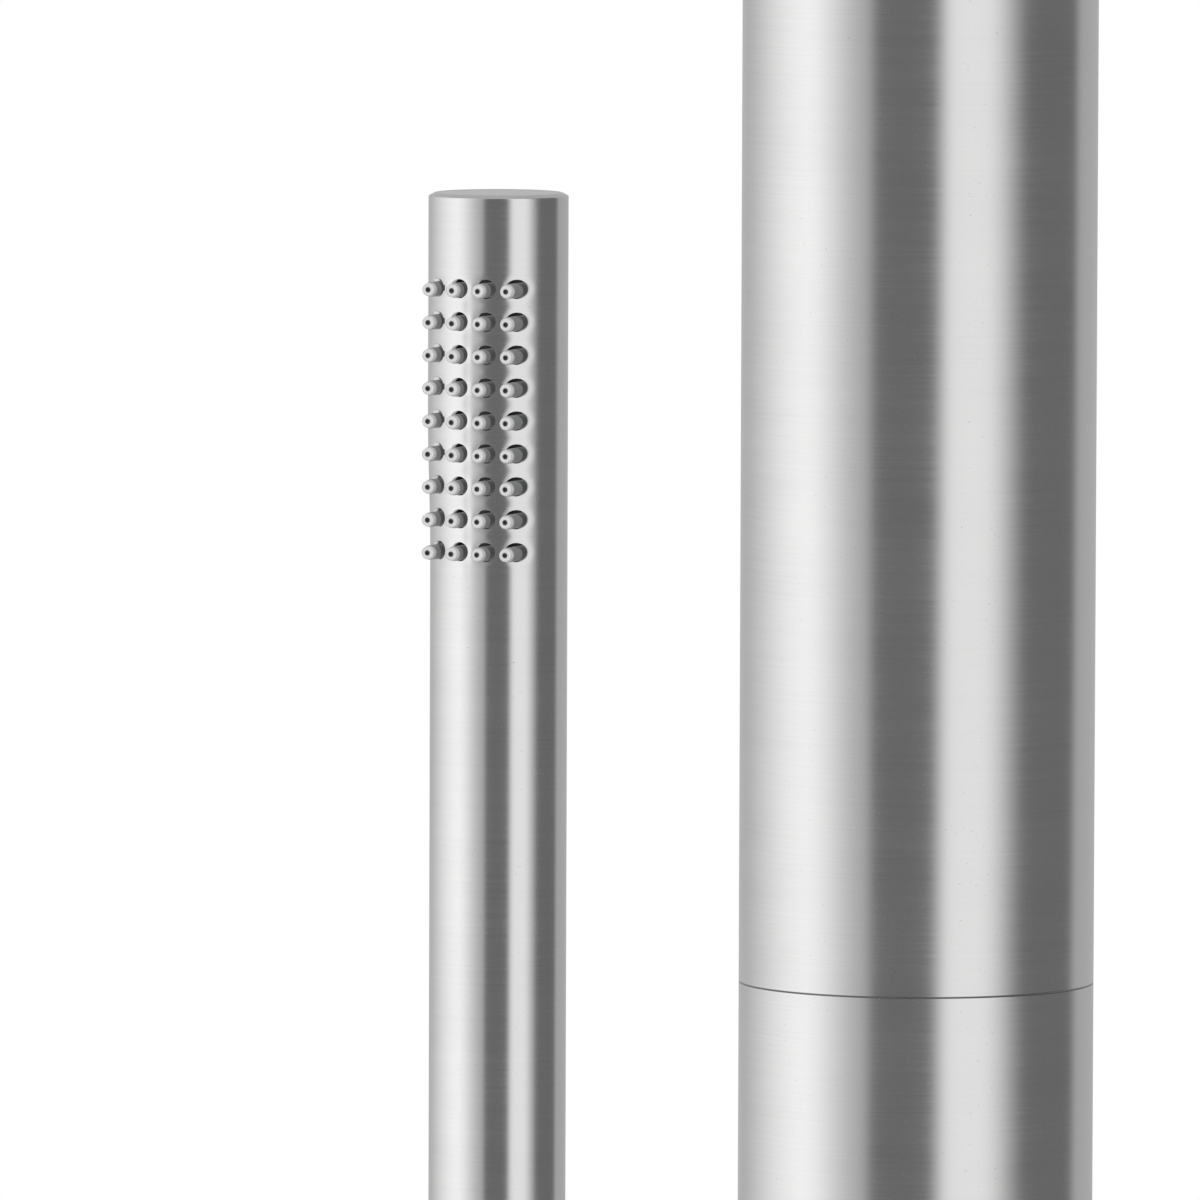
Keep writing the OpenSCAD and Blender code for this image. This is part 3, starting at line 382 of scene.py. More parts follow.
@dataclass(frozen=True)
class Moulded(Finish):
    """Moulded plastic, rubber or silicone, with a fine skin and faint clouds."""

    dark: Colour = (0.04, 0.04, 0.045)
    light: Colour = (0.06, 0.06, 0.065)
    roughness: float = 0.5
    grain_scale: float = 2600.0
    grain_depth: float = 0.01 * MM
    relief: float = 0.4
    cloud_ratio: float = 12.0
    cloud_share: float = 0.7
    roughening: float = 0.15
    soft: float = 0.0
    soft_depth: float = 0.4 * MM

    def inputs(self, graph: Graph) -> dict:
        """Adds a fine skin and faint clouds.

        Args:
            graph: the material's graph.

        Returns:
            The shader's inputs.
        """
        source = graph.add("TexCoord").outputs["Object"]
        grain = graph.noise(source, self.grain_scale)
        cloud = graph.noise(source, self.grain_scale / self.cloud_ratio, detail=3.0)
        rough = (grain - 0.5) * self.roughening + self.roughness
        tone = (cloud * self.cloud_share + grain * (1 - self.cloud_share)).clamped()
        inputs = {
            "Base Color": graph.mix(tone, self.dark, self.light),
            "Roughness": rough.clamped(),
            "Normal": graph.bump(grain, self.relief, self.grain_depth),
        }
        if self.soft:
            inputs["Subsurface Weight"] = self.soft
            inputs["Subsurface Radius"] = (self.soft_depth,) * 3
            inputs["Subsurface Scale"] = 1.0
        return inputs


@dataclass(frozen=True)
class NozzleSilicone(Moulded):
    """Silicone of the hand shower's nozzles, with painted light and shade: pale tips painted as if lit,
    greyer sides painted as if shaded, and painted black shade where each nozzle sits in the tube and down
    its bore.
    """

    centre: Pair = BATON_AXIS
    # Painted shade: nearer the tube's axis than this radius the silicone takes the black seat colour, for
    # the shade in the hole round each nozzle.
    seat_shade_radius: float = 12.8 * MM
    seat_shade_edge: float = 0.25 * MM
    seat: Colour = (0.012, 0.012, 0.013)
    # Painted shade: the sides take this greyer colour and the bore takes the black seat colour, while the
    # tip keeps the pale colour as if lit.
    side: Colour = (0.180, 0.183, 0.188)
    lit_tip_fade: Pair = (0.77 * MM, 1.43 * MM)
    bore_shade_fade: Pair = (0.6 * BORE_SHADE_MARK, 0.8 * BORE_SHADE_MARK)

    def inputs(self, graph: Graph) -> dict:
        """Paints light and shade into the colour by the place along each nozzle: a pale lit tip, shaded
        sides, and black shade in the bore and in the hole.

        Args:
            graph: the material's graph.

        Returns:
            The shader's inputs.
        """
        inputs = super().inputs(graph)
        x, y, _ = graph.place()
        radial = (x - self.centre[0]).distance(y - self.centre[1])
        # Painted shade: black where the nozzle sits down in its hole.
        proud = radial.smooth(self.seat_shade_radius, self.seat_shade_radius + self.seat_shade_edge)
        from_tip = graph.value(graph.add("Attribute", attribute_name=TIP_DISTANCE), "Fac")
        # Painted light and shade: pale tip, shaded sides and a black bore, by the distance from the tip.
        body = from_tip.smooth(*self.lit_tip_fade)
        bore = from_tip.smooth(*self.bore_shade_fade)
        lit_tip_shaded_side = graph.mix(body, inputs["Base Color"], self.side)
        above = graph.mix(bore, lit_tip_shaded_side, self.seat)
        inputs["Base Color"] = graph.mix(proud, self.seat, above)
        return inputs


COLUMN_STEEL = TurnedMetal("column_steel")
# Painted shade: a dark line along the seam where the two column tubes meet.
SEAM_STEEL = TurnedMetal("column_tube_steel", seam_z=SEAM_Z)
BATON_STEEL = TurnedMetal("baton_steel", centre=BATON_AXIS, roughness=0.18)
# Painted shade: the punched tube is painted dark inside and on the inner part of its hole walls.
PUNCHED_STEEL = TurnedMetal("punched_steel", centre=BATON_AXIS, roughness=0.18, inside_shade_radius=11.4 * MM)
HEAD_STEEL = TurnedMetal("head_steel", centre=HEAD_AXIS)
FRONT_STEEL = TurnedMetal("front_steel", axis=Axis.Y, centre=(0.0, MIXER_Z))
DIVERTER_STEEL = TurnedMetal("diverter_steel", axis=Axis.Y, centre=(0.0, DIVERTER_Z))
UPPER_STEEL = TurnedMetal("upper_steel", axis=Axis.Y, centre=(0.0, UPPER_FIXING_Z))
ARM_STEEL = TurnedMetal("arm_steel", axis=Axis.Y, centre=(0.0, ARM_Z))
LEVER_STEEL = TurnedMetal("lever_steel", axis=Axis.X, centre=(-0.13335, MIXER_Z))
DIVERTER_LEVER_STEEL = TurnedMetal("diverter_lever_steel", axis=Axis.X, centre=(-0.12535, DIVERTER_Z))
SIDE_STEEL = TurnedMetal("side_steel", axis=Axis.X, centre=(COLUMN_AXIS[1], HOLDER_Z))
BRASS = TurnedMetal("turned_brass", dark=(0.50, 0.36, 0.15), light=(0.66, 0.49, 0.22), roughness=0.28)
BLACK_PLASTIC = Moulded("black_plastic_skin")
SEAL_RUBBER = Moulded(
    "seal_rubber_skin",
    dark=(0.018, 0.018, 0.018),
    light=(0.03, 0.03, 0.03),
    roughness=0.65,
)
SILICONE = Moulded(
    "grey_silicone_skin",
    dark=(0.30, 0.305, 0.31),
    light=(0.37, 0.375, 0.38),
    roughness=0.42,
    grain_scale=4200.0,
    grain_depth=0.004 * MM,
    soft=0.15,
)
# The pale tone is the nozzles' tips as if lit; their sides, bores and seats get painted shade from
# NozzleSilicone.
NOZZLE_SILICONE = NozzleSilicone(
    "nozzle_silicone_painted_shade",
    dark=(0.54, 0.54, 0.54),
    light=(0.61, 0.61, 0.61),
    roughness=0.36,
    grain_scale=4200.0,
    grain_depth=0.004 * MM,
)
CERAMIC = Moulded(
    "ground_ceramic",
    dark=(0.70, 0.69, 0.66),
    light=(0.84, 0.83, 0.80),
    roughness=0.25,
    grain_depth=0.002 * MM,
)


class Shop:
    """Modelling steps that several pieces share."""

    @staticmethod
    def clear_selection() -> None:
        """Deselects every object."""
        if bpy.context.object and bpy.context.object.mode != "OBJECT":
            bpy.ops.object.mode_set(mode="OBJECT")
        bpy.ops.object.select_all(action="DESELECT")

    @staticmethod
    def choose(piece: Piece) -> None:
        """Makes a piece the only selected object and the active one.

        Args:
            piece: the piece.
        """
        Shop.clear_selection()
        piece.select_set(True)
        bpy.context.view_layer.objects.active = piece

    @staticmethod
    def close_edit() -> None:
        """Merges the open mesh's doubled corners, turns its faces outwards and leaves edit mode."""
        bpy.ops.mesh.select_all(action="SELECT")
        bpy.ops.mesh.remove_doubles(threshold=MERGE)
        bpy.ops.mesh.normals_make_consistent(inside=False)
        bpy.ops.object.mode_set(mode="OBJECT")

    @staticmethod
    def unite(pieces: Sequence[Piece], name: str) -> Piece:
        """Joins pieces into one.

        Args:
            pieces: the pieces.
            name: the joined piece's name.

        Returns:
            The joined piece.
        """
        Shop.choose(pieces[0])
        for piece in pieces[1:]:
            piece.select_set(True)
        bpy.ops.object.join()
        pieces[0].name = name
        return pieces[0]

    @staticmethod
    def lathe(name: str, profile: Sequence[Pair], centre: Pair, steps: int) -> Piece:
        """Turns a profile round a vertical axis.

        Args:
            name: the piece's name.
            profile: radius and height of each corner, in order. A closed profile ends where it starts.
            centre: place of the axis in x and y.
            steps: number of facets round the axis.

        Returns:
            The turned piece, at the origin, with its place in its mesh.
        """
        Shop.clear_selection()
        bpy.ops.mesh.primitive_plane_add(size=MM, location=(0, 0, 0))
        piece = bpy.context.object
        piece.name = name
        bpy.ops.object.mode_set(mode="EDIT")
        bpy.ops.mesh.merge(type="CENTER")
        start = Vector((centre[0] + profile[0][0], centre[1], profile[0][1]))
        bpy.ops.transform.translate(value=start)
        for (r0, z0), (r1, z1) in zip(profile, profile[1:]):
            step = Vector((r1 - r0, 0, z1 - z0))
            bpy.ops.mesh.extrude_region_move(TRANSFORM_OT_translate={"value": step})
        bpy.ops.mesh.select_all(action="SELECT")
        bpy.ops.mesh.spin(steps=steps, angle=math.tau, center=(centre[0], centre[1], 0), axis=(0, 0, 1))
        Shop.close_edit()
        return piece

    @staticmethod
    def drill(piece: Piece, start: Sequence[float], end: Sequence[float], radius: float) -> None:
        """Cuts a round hole through a piece.

        Args:
            piece: the piece to drill.
            start: where the hole's axis starts.
            end: where it ends.
            radius: the hole's radius.
        """
        a, b = Vector(start), Vector(end)
        run, middle = b - a, (a + b) / 2
        Shop.clear_selection()
        bpy.ops.mesh.primitive_cylinder_add(
            vertices=DRILL_STEPS, radius=radius, depth=run.length, location=middle
        )
        cutter = bpy.context.object
        cutter.rotation_euler = run.to_track_quat("Z", "Y").to_euler()
        Shop.choose(piece)
        cut = piece.modifiers.new("hole", "BOOLEAN")
        cut.object = cutter
        cut.operation = "DIFFERENCE"
        cut.solver = "EXACT"
        bpy.ops.object.modifier_apply(modifier=cut.name)
        bpy.data.objects.remove(cutter)

    @staticmethod
    def smooth(piece: Piece, angle: float = 30.0) -> None:
        """Shades a piece smooth, but for edges sharper than the angle in degrees."""
        Shop.choose(piece)
        bpy.ops.object.shade_smooth_by_angle(angle=math.radians(angle))

    @staticmethod
    def settle(piece: Piece) -> None:
        """Moves a piece's place, turn and size into its mesh."""
        Shop.choose(piece)
        bpy.ops.object.transform_apply(location=True, rotation=True, scale=True)

    @staticmethod
    def finish(piece: Piece, body: str, slot: str, finish: Finish, *nodes: str) -> None:
        """Gives a piece its finish, its body and the CAD nodes that it stands for.

        Args:
            piece: the new piece.
            body: the CAD body that it rides on.
            slot: the record's material slot; not used.
            finish: its finish.
            nodes: the CAD nodes that it replaces.
        """
        piece.data.materials.clear()
        piece.data.materials.append(finish.material())
        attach(piece, body)
        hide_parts(*nodes)
        log.info("%s: %d faces on %s", piece.name, len(piece.data.polygons), body)


@dataclass
class Column:
    """The two column tubes, which meet in a fine seam."""

    radius: float = 30.75 * MM
    wall: float = 1.5 * MM
    seam_z: float = SEAM_Z
    top_z: float = 1000 * MM
    bottom_z: float = -142 * MM
    edge: float = 0.2 * MM
    steps: int = 384
    arm_hole: float = 12.15 * MM
    bolt_hole: float = 4.15 * MM
    mixer_hole: float = 21.3 * MM
    diverter_hole: float = 14.8 * MM
    holder_hole: float = 3.15 * MM
    rings: int = 8

    def tube(self, name: str, low: float, high: float) -> Piece:
        """Turns one tube with a fine rounded edge at both ends.

        Args:
            name: the tube's name.
            low: its lower end.
            high: its upper end.

        Returns:
            The tube.
        """
        inner, edge = self.radius - self.wall, self.edge
        arc = [(math.sin(math.radians(a)), 1 - math.cos(math.radians(a))) for a in (0, 30, 60, 90)]
        foot = [(self.radius - edge * (1 - s), low + edge * c) for s, c in arc]
        head = [(r, low + high - z) for r, z in reversed(foot)]
        side = [(self.radius, z) for z in spaced(low + edge, high - edge, self.rings)[1:]]
        profile = [(inner, low), *foot, *side, *head, (inner, high), (inner, low)]
        return Shop.lathe(name, profile, COLUMN_AXIS, self.steps)

    def build(self) -> None:
        """Builds and dresses both tubes."""
        x, y = COLUMN_AXIS
        front, back, side = y - 2 * self.radius, y + 2 * self.radius, x - 2 * self.radius
        riser = self.tube("riser_skin", self.seam_z, self.top_z)
        Shop.drill(riser, (x, y, ARM_Z), (x, front, ARM_Z), self.arm_hole)
        Shop.drill(riser, (x, y, UPPER_FIXING_Z), (x, back, UPPER_FIXING_Z), self.bolt_hole)
        housing = self.tube("housing_skin", self.bottom_z, self.seam_z)
        Shop.drill(housing, (x, back, MIXER_Z), (x, front, MIXER_Z), self.mixer_hole)
        Shop.drill(housing, (x, y, DIVERTER_Z), (x, front, DIVERTER_Z), self.diverter_hole)
        Shop.drill(housing, (x, y, HOLDER_Z), (side, y, HOLDER_Z), self.holder_hole)
        for piece, node in ((riser, "riser_tube"), (housing, "lower_housing")):
            Shop.smooth(piece)
            Shop.finish(piece, "column", "brushed_steel", SEAM_STEEL, node)


@dataclass
class Baton:
    """The hand shower: a rolled tube punched for its nozzles, its rounded end and the silicone nozzles."""

    radius: float = 12 * MM
    wall: float = 1.2 * MM
    low_z: float = 38 * MM
    top_z: float = 245 * MM
    cap: float = 2 * MM
    rows: int = 9
    columns: int = 4
    row_pitch: float = 5.74 * MM
    column_pitch: float = 4.9 * MM
    first_row: float = 16.3 * MM
    hole_radius: float = 1.7 * MM
    hole_share: float = 0.98
    rim: float = 0.5
    tip_radius: float = 1.15 * MM
    tip_round: float = 0.34 * MM
    step: float = 0.9 * MM
    base_radius: float = 1.28 * MM
    shoulder: float = 0.35 * MM
    shoulder_edge: Pair = (0.08 * MM, 0.1 * MM)
    orifice: float = 0.36 * MM
    orifice_edge: float = 0.16 * MM
    orifice_depth: float = 1.6 * MM
    root: float = 6.5 * MM
    inner_reach: float = 15.5 * MM
    outer_reach: float = 14.5 * MM
    bulge: float = 0.5 * MM
    swell_span: Pair = (182 * MM, 206 * MM)
    swell_side: float = math.radians(-45)
    swell_share: float = 0.8
    crease_span: Pair = (178 * MM, 230 * MM)
    crease_fade: float = 4 * MM
    crease_place: float = -0.8 * MM
    crease_width: float = 0.5 * MM
    crease_depth: float = 0.05 * MM
    dimple: float = 0.07 * MM
    dimple_width: float = 0.45 * MM
    chamfer: Pair = (1.1 * MM, 0.55 * MM)
    cap_edge: float = 0.1 * MM
    cap_ease: float = 0.04 * MM
    plug_length: float = 4 * MM
    plug_gap: float = 0.15 * MM
    cell: int = 12
    flank: int = 60
    rings_below: int = 20
    rings_above: int = 8
    cap_steps: int = 256
    nozzle_rings: int = 12
    nozzle_steps: int = 32
    sag: float = 0.2 * MM

    @property
    def half_field(self) -> float:
        """Half the width of the punched field, from the front."""
        return self.columns * self.column_pitch / 2

    @property
    def field_span(self) -> Pair:
        """The heights of the punched field's low end and its top."""
        top = self.top_z - self.first_row + self.row_pitch / 2
        return top - self.rows * self.row_pitch, top

    def heights(self) -> list[float]:
        """Spaces the tube's rings, closer together in the punched field.

        Returns:
            Their heights, from the tube's low end to its top.
        """
        low, high = self.field_span
        top = self.top_z - self.cap
        below = spaced(self.low_z, low, self.rings_below)
        within = spaced(low, high, self.rows * self.cell)
        return below + within + spaced(high, top, self.rings_above) + [top]

    def build_tube(self) -> Piece:
        """Rolls the punched tube from a flat sheet.

        Returns:
            The tube.
        """
        heights = self.heights()
        rings = len(heights) - 1
        around = self.columns * self.cell + 2 * self.flank
        Shop.clear_selection()
        bpy.ops.mesh.primitive_grid_add(x_subdivisions=around, y_subdivisions=rings, size=2)
        tube = bpy.context.object
        tube.name = "hand_tube_skin"
        for vertex in tube.data.vertices:
            across = round((vertex.co.x + 1) / 2 * around) - self.flank
            ring = round((vertex.co.y + 1) / 2 * rings)
            vertex.co = self.roll(across, heights[ring])
        self.punch(tube)
        wall = tube.modifiers.new("wall", "SOLIDIFY")
        wall.thickness = self.wall
        wall.offset = -1.0
        bpy.ops.object.modifier_apply(modifier=wall.name)
        Shop.smooth(tube, angle=40.0)
        return tube

    def roll(self, across: int, z: float) -> Vector:
        """Finds the place of a point of the flat sheet on the rolled tube.

        Args:
            across: its number across the sheet, from the first side of the punched field.
            z: its height on the sheet.

        Returns:
            Its place.
        """
        columns = self.columns * self.cell
        if 0 <= across <= columns:
            x, z, drop = self.in_cell(across, z)
            turn = math.asin(x / self.radius)
        else:
            drop = 0.0
            field_turn = math.asin(self.half_field / self.radius)
            out = max(-across, across - columns) / self.flank
            turn = math.copysign(field_turn + (math.pi - field_turn) * out, across)
        reach = self.radius + self.swell(turn, z) - drop
        return Vector((BATON_AXIS[0] + reach * math.sin(turn), BATON_AXIS[1] - reach * math.cos(turn), z))

    def punch(self, tube: Piece) -> None:
        """Takes the holes out of the rolled sheet and closes it at the back.

        Args:
            tube: the rolled sheet.
        """
        Shop.choose(tube)
        bpy.ops.object.mode_set(mode="EDIT")
        bpy.ops.mesh.select_mode(type="FACE")
        bpy.ops.mesh.select_all(action="DESELECT")
        bpy.ops.object.mode_set(mode="OBJECT")
        for polygon in tube.data.polygons:
            polygon.select = self.inside_hole(polygon.center)
        bpy.ops.object.mode_set(mode="EDIT")
        bpy.ops.mesh.delete(type="FACE")
        bpy.ops.mesh.select_mode(type="VERT")
        Shop.close_edit()

    def hole_centres(self) -> list[Pair]:
        """Returns the sideways place and the height of each hole."""
        first = self.top_z - self.first_row
        return [
            ((c - (self.columns - 1) / 2) * self.column_pitch, first - r * self.row_pitch)
            for r in range(self.rows)
            for c in range(self.columns)
        ]

    def in_cell(self, across: int, z: float) -> Triple:
        """Moves a sheet point so that its ring of points becomes round at the hole.

        Args:
            across: the point's number across the punched field.
            z: its height.

        Returns:
            Its sideways place, its height and how far the rim of the hole is pressed in there.
        """
        low, high = self.field_span
        x = across * self.column_pitch / self.cell - self.half_field
        if not low - TINY < z < high + TINY:
            return x, z, 0.0
        column = min(across // self.cell, self.columns - 1)
        row = min(int((z - low) / self.row_pitch + TINY), self.rows - 1)
        cx = (column + 0.5) * self.column_pitch - self.half_field
        cz = low + (row + 0.5) * self.row_pitch
        half = Vector((self.column_pitch / 2, self.row_pitch / 2))
        part = Vector(((x - cx) / half.x, (z - cz) / half.y))
        reach = max(abs(part.x), abs(part.y))
        if reach < TINY:
            return x, z, 0.0
        rim = part.normalized() * self.hole_radius
        if reach <= self.rim:
            moved = rim * (reach / self.rim)
            return cx + moved.x, cz + moved.y, self.dimple
        moved = rim.lerp(part / reach * half, (reach - self.rim) / (1 - self.rim))
        away = (moved.length - self.hole_radius) / self.dimple_width
        return cx + moved.x, cz + moved.y, self.dimple * math.exp(-away * away)

    def inside_hole(self, point: Vector) -> bool:
        """Says whether a point of the rolled sheet lies in a hole.

        Args:
            point: the point.

        Returns:
            True in a hole.
        """
        if point.y > BATON_AXIS[1]:
            return False
        x, z = point.x - BATON_AXIS[0], point.z
        reach = self.hole_share * self.hole_radius
        return any(math.hypot(x - cx, z - cz) < reach for cx, cz in self.hole_centres())

    def swell(self, turn: float, z: float) -> float:
        """Returns how far the punched side stands proud of the round tube, less its crease.

        Args:
            turn: the angle from the front, in radians.
            z: the height.

        Returns:
            The extra radius.
        """
        along = ramp(z, *self.swell_span)
        along = along * along * (3 - 2 * along)
        side = max(0.0, math.cos((turn - self.swell_side) * self.swell_share)) ** 2
        low, high = self.crease_span
        within = ramp(z, low, low + self.crease_fade) * ramp(z, high, high - self.crease_fade)
        off = (self.radius * turn - self.crease_place) / self.crease_width
        return self.bulge * along * side - self.crease_depth * within * math.exp(-off * off)

    def build_cap(self) -> Piece:
        """Turns the end cap with its fine chamfer and the plug below it.

        Returns:
            The cap.
        """
        r, top, edge = self.radius, self.top_z, self.cap_edge
        wide, high = self.chamfer
        plug = r - self.wall - self.plug_gap
        low = top - self.cap
        profile = [
            (0.0, low - self.plug_length),
            (plug, low - self.plug_length),
            (plug, low),
            (r, low),
            (r, top - high - edge),
            (r - self.cap_ease, top - high),
            (r - wide + edge, top - self.cap_ease),
            (r - wide - edge, top),
            (r / 2, top),
            (0.0, top),
        ]
        cap = Shop.lathe("hand_cap_skin", profile, BATON_AXIS, self.cap_steps)
        for vertex in cap.data.vertices:
            if vertex.co.z > low - edge:
                across, ahead = vertex.co.x - BATON_AXIS[0], BATON_AXIS[1] - vertex.co.y
                swell = self.swell(math.atan2(across, ahead), vertex.co.z) / r
                vertex.co.x += across * swell
                vertex.co.y -= ahead * swell
        Shop.smooth(cap, angle=20.0)
        return cap

    def build_nozzles(self) -> Piece:
        """Sets a silicone nozzle into each hole.

        Returns:
            All nozzles, as one piece.
        """
        nozzles = []
        for cx, cz in self.hole_centres():
            reach = self.inner_reach if abs(cx) < self.column_pitch else self.outer_reach
            nozzles.append(self.nozzle(reach, BATON_AXIS[0] + cx, cz - self.sag))
        return Shop.unite(nozzles, "nozzle_field")

    def nozzle(self, reach: float, x: float, z: float) -> Piece:
        """Turns one nozzle that points out of the front.

        Args:
            reach: distance of its tip from the tube's axis.
            x: its sideways place.
            z: its height.

        Returns:
            The nozzle.
        """
        tip, base, bore, turned = self.tip_radius, self.base_radius, self.orifice, self.tip_round
        low = reach - self.step
        side, drop = self.shoulder_edge
        corner = [math.radians(a) for a in (0, 22, 45, 68, 90)]
        profile = [
            (0.0, self.root),
            *((base, z) for z in spaced(self.root, low, self.nozzle_rings)),
            (base, low - self.shoulder),
            (base - side, low - drop),
            (tip, low),
            *((tip - turned * (1 - math.cos(a)), reach - turned * (1 - math.sin(a))) for a in corner),
            (bore + self.orifice_edge, reach - self.orifice_edge / 8),
            (bore, reach - self.orifice_edge),
            (bore, reach - self.orifice_depth),
            (0.0, reach - self.orifice_depth),
        ]
        piece = Shop.lathe("nozzle", profile, (0.0, 0.0), self.nozzle_steps)
        # Each point gets its distance from the tip, which sets the painted lit tip and shaded sides; the
        # bore's points get the bore mark, which paints them black as shade.
        mark = piece.data.attributes.new(TIP_DISTANCE, "FLOAT", "POINT")
        near = bore + self.orifice_edge / 2
        places = [v.co for v in piece.data.vertices]
        in_bore = [c.xy.length < near and c.z > self.root + self.orifice_edge for c in places]
        distances = [BORE_SHADE_MARK if inside else reach - c.z for inside, c in zip(in_bore, places)]
        mark.data.foreach_set("value", distances)
        piece.rotation_euler = (math.radians(90), 0, 0)
        piece.location = (x, BATON_AXIS[1], z)
        Shop.settle(piece)
        Shop.smooth(piece, angle=50.0)
        return piece

    def build(self) -> None:
        """Builds and dresses the hand shower's visible pieces."""
        tube, cap, nozzles = self.build_tube(), self.build_cap(), self.build_nozzles()
        Shop.finish(tube, "hand_shower", "brushed_steel", PUNCHED_STEEL, "hand_tube")
        Shop.finish(cap, "hand_shower", "brushed_steel", BATON_STEEL, "hand_top_cap")
        Shop.finish(nozzles, "hand_shower", "grey_silicone", NOZZLE_SILICONE, "nozzle_strip")


@dataclass
class Threads:
    """The pieces with half-inch pipe threads: the hose tail, the hose outlet and the two inlets."""

    radius: float = 10.475 * MM
    depth: float = 1.05 * MM
    pitch: float = 1.814 * MM
    length: float = 14 * MM
    chamfer: float = 0.9 * MM
    slope: float = 1.25
    tolerance: float = 0.01 * MM
    inlet_x: float = 14 * MM
    rows_a_turn: int = 8
    steps: int = 96

    def flank(self, low: float) -> list[Pair]:
        """Returns the plain rows that the thread is cut from, upwards from its low end."""
        rows = round(self.length / self.pitch * self.rows_a_turn)
        return [(self.radius, low + self.length * (i + 0.5) / rows) for i in range(rows)]

    def turn(self, name: str, profile: list[Pair], low: float, centre: Pair) -> Piece:
        """Turns a threaded piece and cuts the helix into its rows.

        Args:
            name: the piece's name.
            profile: its closed profile, with the plain rows of the thread.
            low: the low end of the thread.
            centre: its axis in x and y.

        Returns:
            The piece.
        """
        piece = Shop.lathe(name, profile, centre, self.steps)
        for vertex in piece.data.vertices:
            x, y, rise = vertex.co.x - centre[0], vertex.co.y - centre[1], vertex.co.z - low
            if abs(math.hypot(x, y) - self.radius) > self.tolerance or not 0 < rise < self.length:
                continue
            phase = (rise / self.pitch - math.atan2(y, x) / math.tau) % 1.0
            runout = min(1.0, rise / self.chamfer, (self.length - rise) / self.chamfer)
            tooth = min(1.0, self.slope * abs(2 * phase - 1))
            scale = 1 - self.depth * max(tooth, 1 - runout) / self.radius
            vertex.co.x, vertex.co.y = centre[0] + x * scale, centre[1] + y * scale
        Shop.smooth(piece, angle=35.0)
        return piece

    def tail(self) -> Piece:
        """Turns the tail that the hose screws on to, with its groove for the seal.

        Returns:
            The tail.
        """
        low, shoulder, end = 19.4 * MM, 37.7 * MM, 53.7 * MM
        groove_low, groove_high = 42.0 * MM, 46.0 * MM
        bore, shank, groove, spigot = 4.5 * MM, 9.725 * MM, 9.225 * MM, 10.725 * MM
        rim, rim_top, rim_edge = 11.85 * MM, 37.925 * MM, (0.15 * MM, 0.1 * MM)
        profile = [
            (bore, low),
            (self.radius - self.depth, low),
            *self.flank(low),
            (shank, low + self.length),
            (shank, shoulder),
            (rim - rim_edge[0], shoulder),
            (rim, shoulder + rim_edge[1]),
            (rim, rim_top),
            (spigot, rim_top),
            (spigot, groove_low),
            (groove, groove_low),
            (groove, groove_high),
            (spigot, groove_high),
            (spigot, end),
            (bore, end),
            (bore, low),
        ]
        return self.turn("hose_tail_turned", profile, low, BATON_AXIS)

    def outlet(self) -> Piece:
        """Turns the hose outlet below the column.

        Returns:
            The outlet.
        """
        low, flange, cap, top = -164 * MM, -150 * MM, -146 * MM, -97.5 * MM
        bore, shank, rim = 4.5 * MM, 8.5 * MM, 14.475 * MM
        edge = 0.3 * MM
        profile = [
            (bore, low),
            (self.radius - self.depth, low),
            *self.flank(low),
            (self.radius, flange),
            (rim - edge, flange),
            (rim, flange + edge),
            (rim, cap),
            (shank, cap),
            (shank, top),
            (bore, top),
            (bore, low),
        ]
        return self.turn("hose_outlet_turned", profile, low, COLUMN_AXIS)

    def inlets(self) -> Piece:
        """Turns the hot and the cold inlet, which point into the wall.

        Returns:
            Both inlets, as one piece.
        """
        feed, spigot, shank, bore = 3.5 * MM, 5.0 * MM, 9.0 * MM, 7.5 * MM
        back, shoulder, seat, end = -58.5 * MM, -45.5 * MM, -12.5 * MM, self.length
        profile = [
            (feed, back),
            (spigot, back),
            (spigot, shoulder),
            (shank, shoulder),
            (shank, 0.0),
            (self.radius - self.depth, 0.0),
            *self.flank(0.0),
            (self.radius - self.depth, end),
            (bore, end),
            (bore, seat),
            (feed, seat),
            (feed, back),
        ]
        pair = []
        for side, name in ((-1, "hot"), (1, "cold")):
            inlet = self.turn(f"{name}_inlet_turned", profile, 0.0, (0.0, 0.0))
            inlet.rotation_euler = (math.radians(-90), 0, 0)
            inlet.location = (side * self.inlet_x, 0, 0)
            Shop.settle(inlet)
            pair.append(inlet)
        return Shop.unite(pair, "inlets_turned")

    def build(self) -> None:
        """Builds and dresses the threaded pieces."""
        Shop.finish(self.tail(), "tail", "brass", BRASS, "hose_tail")
        Shop.finish(self.outlet(), "column", "brushed_steel", COLUMN_STEEL, "hose_outlet")
        Shop.finish(self.inlets(), "column", "brass", BRASS, "inlet_nipples")


